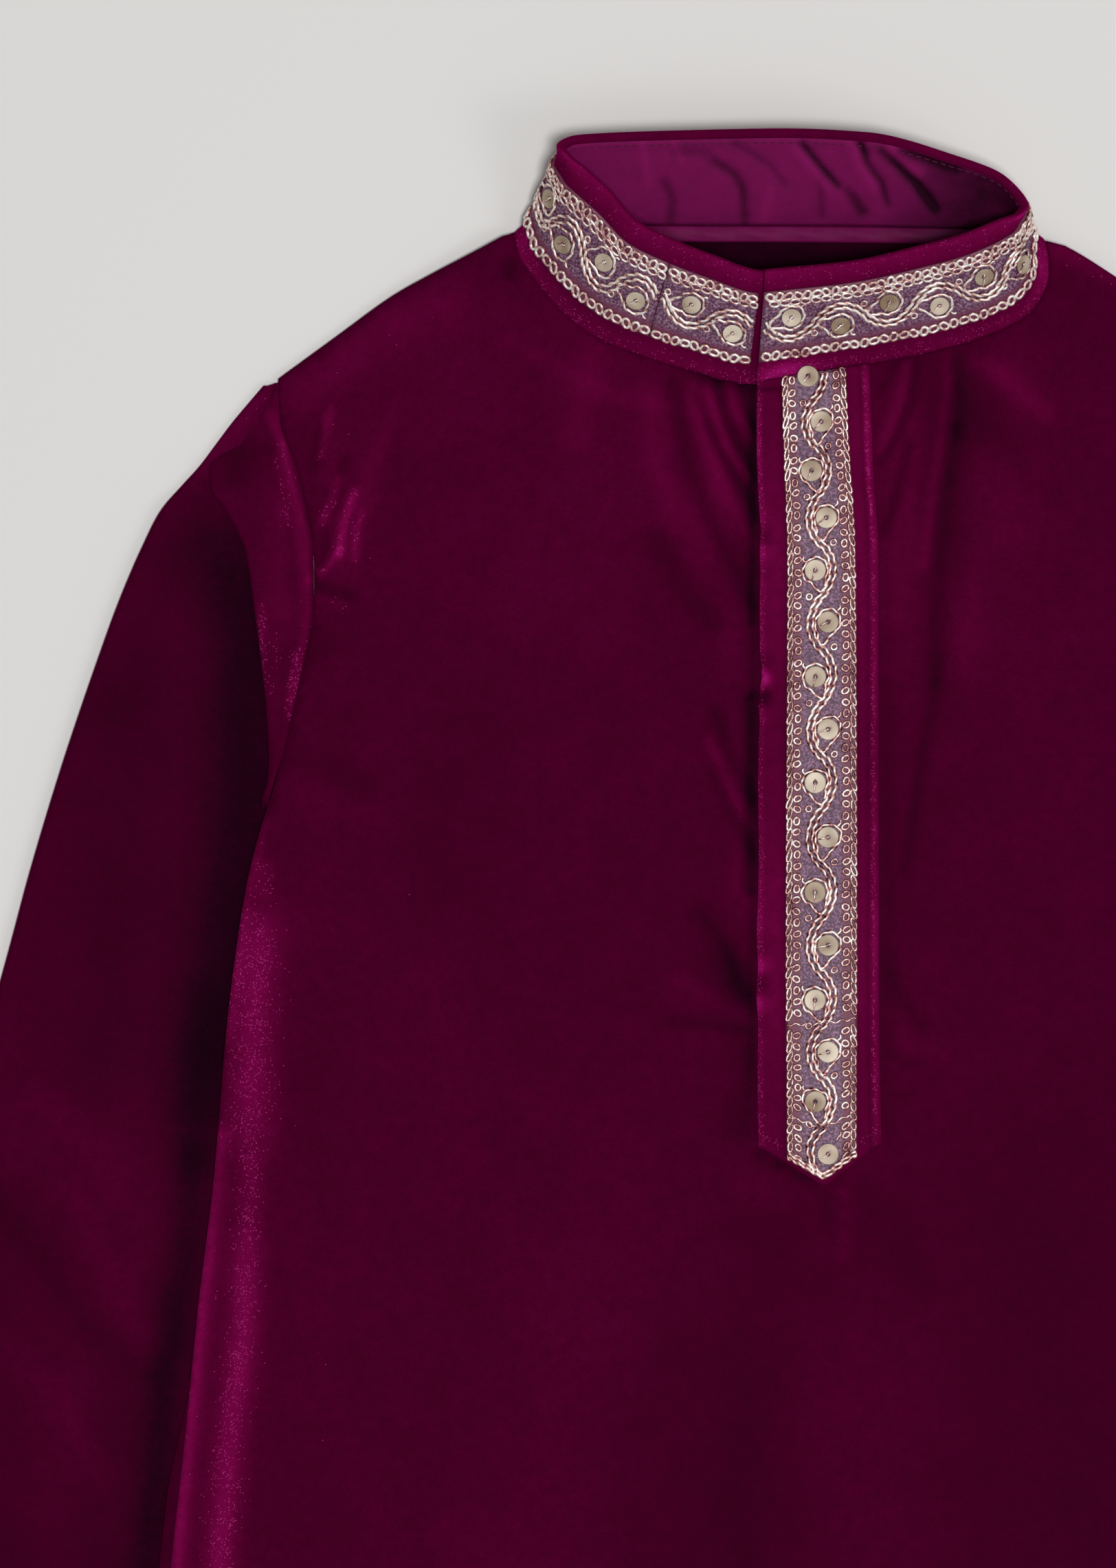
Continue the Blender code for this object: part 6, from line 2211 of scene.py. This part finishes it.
class Tree:
    """The nodes of one material."""

    def __init__(self, name: str) -> None:
        """Start an empty material.

        Args:
            name: the material's name.
        """
        self.material = bpy.data.materials.new(name)
        self.material.use_nodes = True
        self.nodes = self.material.node_tree.nodes
        self.nodes.clear()
        self.place = self.node("ShaderNodeTexCoord", output="Object")

    def node(self, kind: str, settings: dict[str, Any] | None = None, sockets: dict[Any, Any] | None = None,
             output: int | str = 0) -> Value:
        """Add a node.

        Args:
            kind: its type.
            settings: its properties; stops are those of a colour ramp.
            sockets: values or links of its inputs, by name or number.
            output: the output that is wanted.

        Returns:
            That output.
        """
        node = self.nodes.new(kind)
        for key, value in (settings or {}).items():
            if key == "stops":
                self.set_stops(node.color_ramp, value)
            else:
                setattr(node, key, value)
        for key, value in (sockets or {}).items():
            if isinstance(value, Value):
                self.material.node_tree.links.new(value.socket, node.inputs[key])
            else:
                node.inputs[key].default_value = value
        return Value(self, node.outputs[output])

    def set_stops(self, ramp_data: bpy.types.ColorRamp, stops: Sequence[tuple[float, tuple]]) -> None:
        """Give a colour ramp its stops.

        Args:
            ramp_data: the ramp.
            stops: positions from 0 to 1 with their colours.
        """
        while len(ramp_data.elements) < len(stops):
            ramp_data.elements.new(1.0)
        for element, (position, colour) in zip(ramp_data.elements, stops):
            element.position = position
            element.color = colour

    def noise(self, size: float, detail: float = 2.0) -> Value:
        """Even noise whose features have a size in millimetres."""
        return self.node("ShaderNodeTexNoise", {}, {
            "Vector": self.place, "Scale": 1 / (size * MM), "Detail": detail, "Roughness": 0.5}, "Fac")

    def grain(self, size: float, amount: float, detail: float = 2.0) -> Value:
        """The same noise about 0, as a share of an amount."""
        return amount * (self.noise(size, detail) - 0.5)

    def tones(self, stops: Sequence[tuple[float, tuple]], share: Value) -> Value:
        """A colour by a share from 0 to 1, from stops."""
        return self.node("ShaderNodeValToRGB", {"stops": stops}, {0: share}, "Color")

    def attribute(self, name: str) -> Value:
        """A number carried by the mesh's points."""
        return self.node("ShaderNodeAttribute", {"attribute_name": name}, {}, "Fac")

    def mix(self, share: Value | float, first: Any, second: Any) -> Value:
        """Two colours mixed."""
        return self.node("ShaderNodeMix", {"data_type": "RGBA"}, {0: share, 6: first, 7: second}, 2)

    def bump(self, height: Value, depth: float, strength: float = 1.0) -> Value:
        """A bump of a depth in millimetres."""
        return self.node("ShaderNodeBump", {}, {
            "Height": height, "Distance": depth * MM, "Strength": strength}, "Normal")

    def surface(self, sockets: dict[str, Any]) -> Material:
        """Close the material with one Principled surface.

        Args:
            sockets: values or links, by socket.

        Returns:
            The material.
        """
        shader = self.node("ShaderNodeBsdfPrincipled", {}, sockets, "BSDF")
        target = self.nodes.new("ShaderNodeOutputMaterial")
        self.material.node_tree.links.new(shader.socket, target.inputs["Surface"])
        return self.material


def linear(value: int) -> float:
    """One share of a screen's colour, 0 to 255, as linear light."""
    share = value / 255
    return share / 12.92 if share <= 0.04045 else ((share + 0.055) / 1.055) ** 2.4


def colour(red: int, green: int, blue: int) -> tuple[float, float, float, float]:
    """A colour of the screen as linear light."""
    return linear(red), linear(green), linear(blue), 1.0


@dataclass(frozen=True)
class Finish:
    """A finish, made as one material."""

    name: str

    def sockets(self, tree: Tree) -> dict[str, Any]:
        """What the surface's sockets hold."""
        raise NotImplementedError

    def material(self) -> Material:
        """Build the nodes."""
        tree = Tree(self.name)
        return tree.surface(self.sockets(tree))


@dataclass(frozen=True)
class Velvet(Finish):
    """Crushed velvet: its tone follows the lie of the nap and the painted shading, and painted glints of its
    pile lie where the glitter mark is.
    """

    name: str = "Velvet"
    tones: tuple = ((0.0, colour(19, 4, 13)), (0.2, colour(36, 3, 21)), (0.5, colour(69, 1, 36)),
                    (0.7, colour(93, 3, 51)), (0.85, colour(116, 6, 67)), (1.0, colour(146, 14, 94)))
    # Colour of the painted glints of the pile
    sparkle: tuple = colour(186, 56, 132)
    sparkle_share: float = 0.75
    sheen: tuple = colour(255, 0, 150)
    tuft: float = 0.42
    tuft_reach: float = 0.38

    def sockets(self, tree: Tree) -> dict[str, Any]:
        """The nap's tone with its painted shading, and painted glints on tufts of its pile.

        Args:
            tree: the nodes.

        Returns:
            Values or links, by socket.
        """
        tone = (tree.attribute("nap_tone") + 0.5 + tree.grain(60, 0.09) + tree.grain(12, 0.1, 3.0)
                + tree.grain(3, 0.11, 3.0) + tree.grain(0.7, 0.16, 3.0))
        base = tree.tones(self.tones, tone)
        cells = {"Vector": tree.place, "Scale": 1 / (self.tuft * MM)}
        near = tree.node("ShaderNodeTexVoronoi", {}, cells, "Distance")
        chance = tree.node("ShaderNodeTexVoronoi", {}, cells, "Color")
        pick = tree.node("ShaderNodeSeparateColor", {}, {0: chance}, 0)
        glitter = tree.attribute("nap_glitter")
        # Painted glints: some cells light up where the glitter mark is high
        lit = (near < self.tuft_reach) * (pick < glitter * glitter * (1.9 * tree.noise(4) - 0.5))
        base = tree.mix(lit * self.sparkle_share, base, self.sparkle)
        return {"Base Color": base, "Roughness": 0.9, "Specular IOR Level": 0.0, "Sheen Weight": 0.22,
                "Sheen Roughness": 0.35, "Sheen Tint": self.sheen,
                "Normal": tree.bump(tree.noise(0.6, 3.0), 0.12, 0.5)}


@dataclass(frozen=True)
class Satin(Finish):
    """Satin lining."""

    name: str = "Satin"
    dark: tuple = colour(42, 8, 28)
    light: tuple = colour(124, 20, 84)

    def sockets(self, tree: Tree) -> dict[str, Any]:
        """A painted shine that follows the creases, and painted shade towards the right and at the foot.

        Args:
            tree: the nodes.

        Returns:
            Values or links, by socket.
        """
        share = tree.attribute("nap_tone") + 0.5 + tree.grain(7, 0.4, 3.0) + tree.grain(1.2, 0.2)
        return {"Base Color": tree.mix(share, self.dark, self.light), "Roughness": 0.5,
                "Specular IOR Level": 0.04, "Normal": tree.bump(tree.noise(0.4), 0.05, 0.4)}


@dataclass(frozen=True)
class MetalCord(Finish):
    """Metallic thread, with painted shade where its plies turn in and below, and a painted highlight on top.
    """

    name: str = "Metal_cord"
    tones: tuple = ((0.0, colour(58, 18, 30)), (0.3, colour(134, 80, 80)), (0.62, colour(206, 156, 150)),
                    (1.0, colour(255, 248, 240)))
    # Painted light: how much lighter every cord is drawn, used for the collar's cords, as the collar leans
    # away from the light
    lift: float = 0.0

    def sockets(self, tree: Tree) -> dict[str, Any]:
        """A painted highlight on the top and the plies' crests of the cord, painted shade below and in the
        grooves, uneven along it.

        Args:
            tree: the nodes.

        Returns:
            Values or links, by socket.
        """
        share = (tree.attribute("crest") * 1.5 - 0.45 + self.lift + tree.grain(1.0, 1.9, 3.0)
                 + tree.grain(7, 1.1))
        return {"Base Color": tree.tones(self.tones, share), "Roughness": 0.4, "Metallic": 0.5,
                "Normal": tree.bump(tree.noise(0.25), 0.06, 0.6)}


@dataclass(frozen=True)
class Sequin(Finish):
    """Matt champagne sequins."""

    name: str = "Sequin"
    dark: tuple = colour(142, 118, 94)
    light: tuple = colour(222, 208, 188)

    def sockets(self, tree: Tree) -> dict[str, Any]:
        """Each sequin a little lighter or darker than the next."""
        return {"Base Color": tree.mix(3.0 * tree.noise(13) - 1.0, self.dark, self.light), "Roughness": 0.6,
                "Metallic": 0.15}


@dataclass(frozen=True)
class Tissue(Finish):
    """The border's ground: mauve cloth woven with metal."""

    name: str = "Border_tissue"
    dark: tuple = colour(62, 22, 54)
    light: tuple = colour(150, 104, 136)
    edge: tuple = colour(92, 22, 54)

    def sockets(self, tree: Tree) -> dict[str, Any]:
        """A mottled middle between darker edges.

        Args:
            tree: the nodes.

        Returns:
            Values or links, by socket.
        """
        middle = tree.mix(3.2 * tree.noise(0.7, 3.0) - 1.4, self.dark, self.light)
        return {"Base Color": tree.mix(tree.attribute("field"), self.edge, middle), "Roughness": 0.5,
                "Metallic": 0.2, "Normal": tree.bump(tree.noise(0.5), 0.12, 0.6)}


@dataclass(frozen=True)
class Plain(Finish):
    """One plain colour."""

    tone: tuple
    roughness: float = 0.8

    def sockets(self, tree: Tree) -> dict[str, Any]:
        """The same all over."""
        return {"Base Color": self.tone, "Roughness": self.roughness, "Specular IOR Level": 0.2}


@dataclass(frozen=True)
class Lamp:
    """A square light that looks at the middle of the picture."""

    name: str
    place: tuple[float, float, float]
    size: float
    energy: float


@dataclass
class Studio:
    """The pale surface, the light and the camera of the picture."""

    floor_half: float = 6.0
    frame_height: float = 0.4564
    camera_place: tuple[float, float, float] = (-0.0706, 0.1468, 5.0)
    sensor: float = 36.0
    lamps: tuple[Lamp, ...] = (
        Lamp("Key", (0.35, -0.1, 4.5), 0.8, 124), Lamp("Side", (2.0, -0.8, 2.2), 1.2, 13))
    all_round: float = 0.24

    def floor(self) -> None:
        """The surface that the garment lies on."""
        half = self.floor_half
        corners = [(-half, -half, 0), (half, -half, 0), (half, half, 0), (-half, half, 0)]
        data = bpy.data.meshes.new("Floor")
        data.from_pydata(corners, [], [(0, 1, 2, 3)])
        data.materials.append(Plain("Floor", colour(226, 224, 222), 0.95).material())
        piece = bpy.data.objects.new("Floor", data)
        bpy.context.scene.collection.objects.link(piece)

    def lights(self) -> None:
        """A soft light near the camera, a weak one low on the right, and light from all round."""
        world = bpy.data.worlds.new("Studio")
        bpy.context.scene.world = world
        world.use_nodes = True
        back = world.node_tree.nodes["Background"]
        back.inputs["Color"].default_value = (1, 1, 1, 1)
        back.inputs["Strength"].default_value = self.all_round
        for lamp in self.lamps:
            data = bpy.data.lights.new(lamp.name, "AREA")
            data.energy, data.size = lamp.energy, lamp.size
            light = bpy.data.objects.new(lamp.name, data)
            light.location = lamp.place
            aim = Vector((*self.camera_place[:2], 0)) - Vector(lamp.place)
            light.rotation_euler = aim.to_track_quat("-Z", "Y").to_euler()
            bpy.context.scene.collection.objects.link(light)

    def camera(self) -> None:
        """The camera, straight above the part that the picture shows."""
        data = bpy.data.cameras.new("Camera")
        data.sensor_fit = "VERTICAL"
        data.sensor_height = self.sensor
        data.lens = self.sensor * self.camera_place[2] / self.frame_height
        eye = bpy.data.objects.new("Camera", data)
        eye.location = self.camera_place
        bpy.context.scene.collection.objects.link(eye)
        bpy.context.scene.camera = eye

    def build(self) -> None:
        """Make all of it."""
        self.floor()
        self.lights()
        self.camera()
        bpy.context.scene.view_settings.view_transform = "Standard"


@dataclass
class Trims:
    """The three borders: the flap's, and the two lengths round the collar with a paler ground and cords
    painted lighter, as the collar leans away from the light.
    """

    pitch: float = 14.5
    flap_joints: Pair = (189.8, 220.0)
    flap_cut: Size = (21.0, 236.0)
    short_places: Pair = (6.0, 19.5)
    short_cut: Size = (24.0, 29.0)
    long_cut: Size = (24.5, 288.0)
    steps: tuple[int, int] = (60, 700)

    def on_collar(self, name: str, face: Ribbon, places: Sequence[float], cut: Size) -> Border:
        """A border of the collar, whose rings are outside its single chain.

        Args:
            name: its name.
            face: the face it is sewn on.
            places: where its sequins are.
            cut: size of its flat cut.

        Returns:
            The border.
        """
        return Border(name, f"trim_{name}", face, places, cut, "Collar_velvet", bend=4.3, sequin_off=2.4,
                      sequin=2.85, ring_in=1.7, ring=1.15, ring_wire=0.54, ring_pitch=2.8, ring_sway=0.06,
                      chain_in=3.7, chain_sides=(1,), chain_half=(1.5, 0.85), chain_wire=0.42)

    def long_places(self, length: float) -> list[float]:
        """The sequins' places on the long length: as seen at both ends, and even between them.

        Args:
            length: of the border.

        Returns:
            The places from its start.
        """
        last = length - np.array(ROUND_LAST)
        hidden = 2 * round(((last[0] - ROUND_FIRST[-1]) / self.pitch - 1) / 2) + 1
        return [*ROUND_FIRST, *np.linspace(ROUND_FIRST[-1], last[0], hidden + 1)[1:-1], *last]

    def build(self, maker: Maker, collar: Collar, placket: Placket) -> None:
        """Args:
            maker: makes the pieces.
            collar: gives the faces round the collar.
            placket: gives the flap's face.
        """
        tissue, pale_tissue = Tissue().material(), Tissue(
            "Pale_border_tissue", colour(86, 44, 74), colour(178, 138, 164), colour(112, 50, 80)).material()
        # The collar's cords are drawn lighter as painted light, as the collar leans away from the light
        metal, lit_metal = MetalCord().material(), MetalCord("Lit_metal_cord", lift=0.2).material()
        sequin = Sequin().material()
        short, long = [collar.border_face(*ends) for ends in zip((SHORT_BORDER, LONG_BORDER), self.steps)]
        Border("placket", "trim_placket", placket.border_face(), PLACKET_SEQUINS, self.flap_cut,
               "Placket_flap", pointed=True, joints=self.flap_joints).build(maker, tissue, metal, sequin)
        self.on_collar("collar_front", short, self.short_places, self.short_cut).build(
            maker, pale_tissue, lit_metal, sequin)
        self.on_collar("collar_round", long, self.long_places(long.length), self.long_cut).build(
            maker, pale_tissue, lit_metal, sequin)


def main() -> None:
    """Build the garment and its studio, and report each piece."""
    logging.basicConfig(level=logging.INFO, format="%(name)s: %(message)s")
    Studio().build()
    maker, collar, placket = Maker(), Collar(), Placket()
    velvet, satin = Velvet().material(), Satin().material()
    thread = Plain("Thread", colour(84, 14, 54)).material()
    BackPanel().build(maker, velvet)
    FrontPanel().build(maker, velvet)
    for side in (-1, 1):
        Sleeve(side).build(maker, velvet)
    collar.build(maker, velvet, satin, thread)
    placket.build(maker, velvet)
    Trims().build(maker, collar, placket)
    LOG.info("%d pieces", len(maker.pieces))


if __name__ == "__main__":
    main()
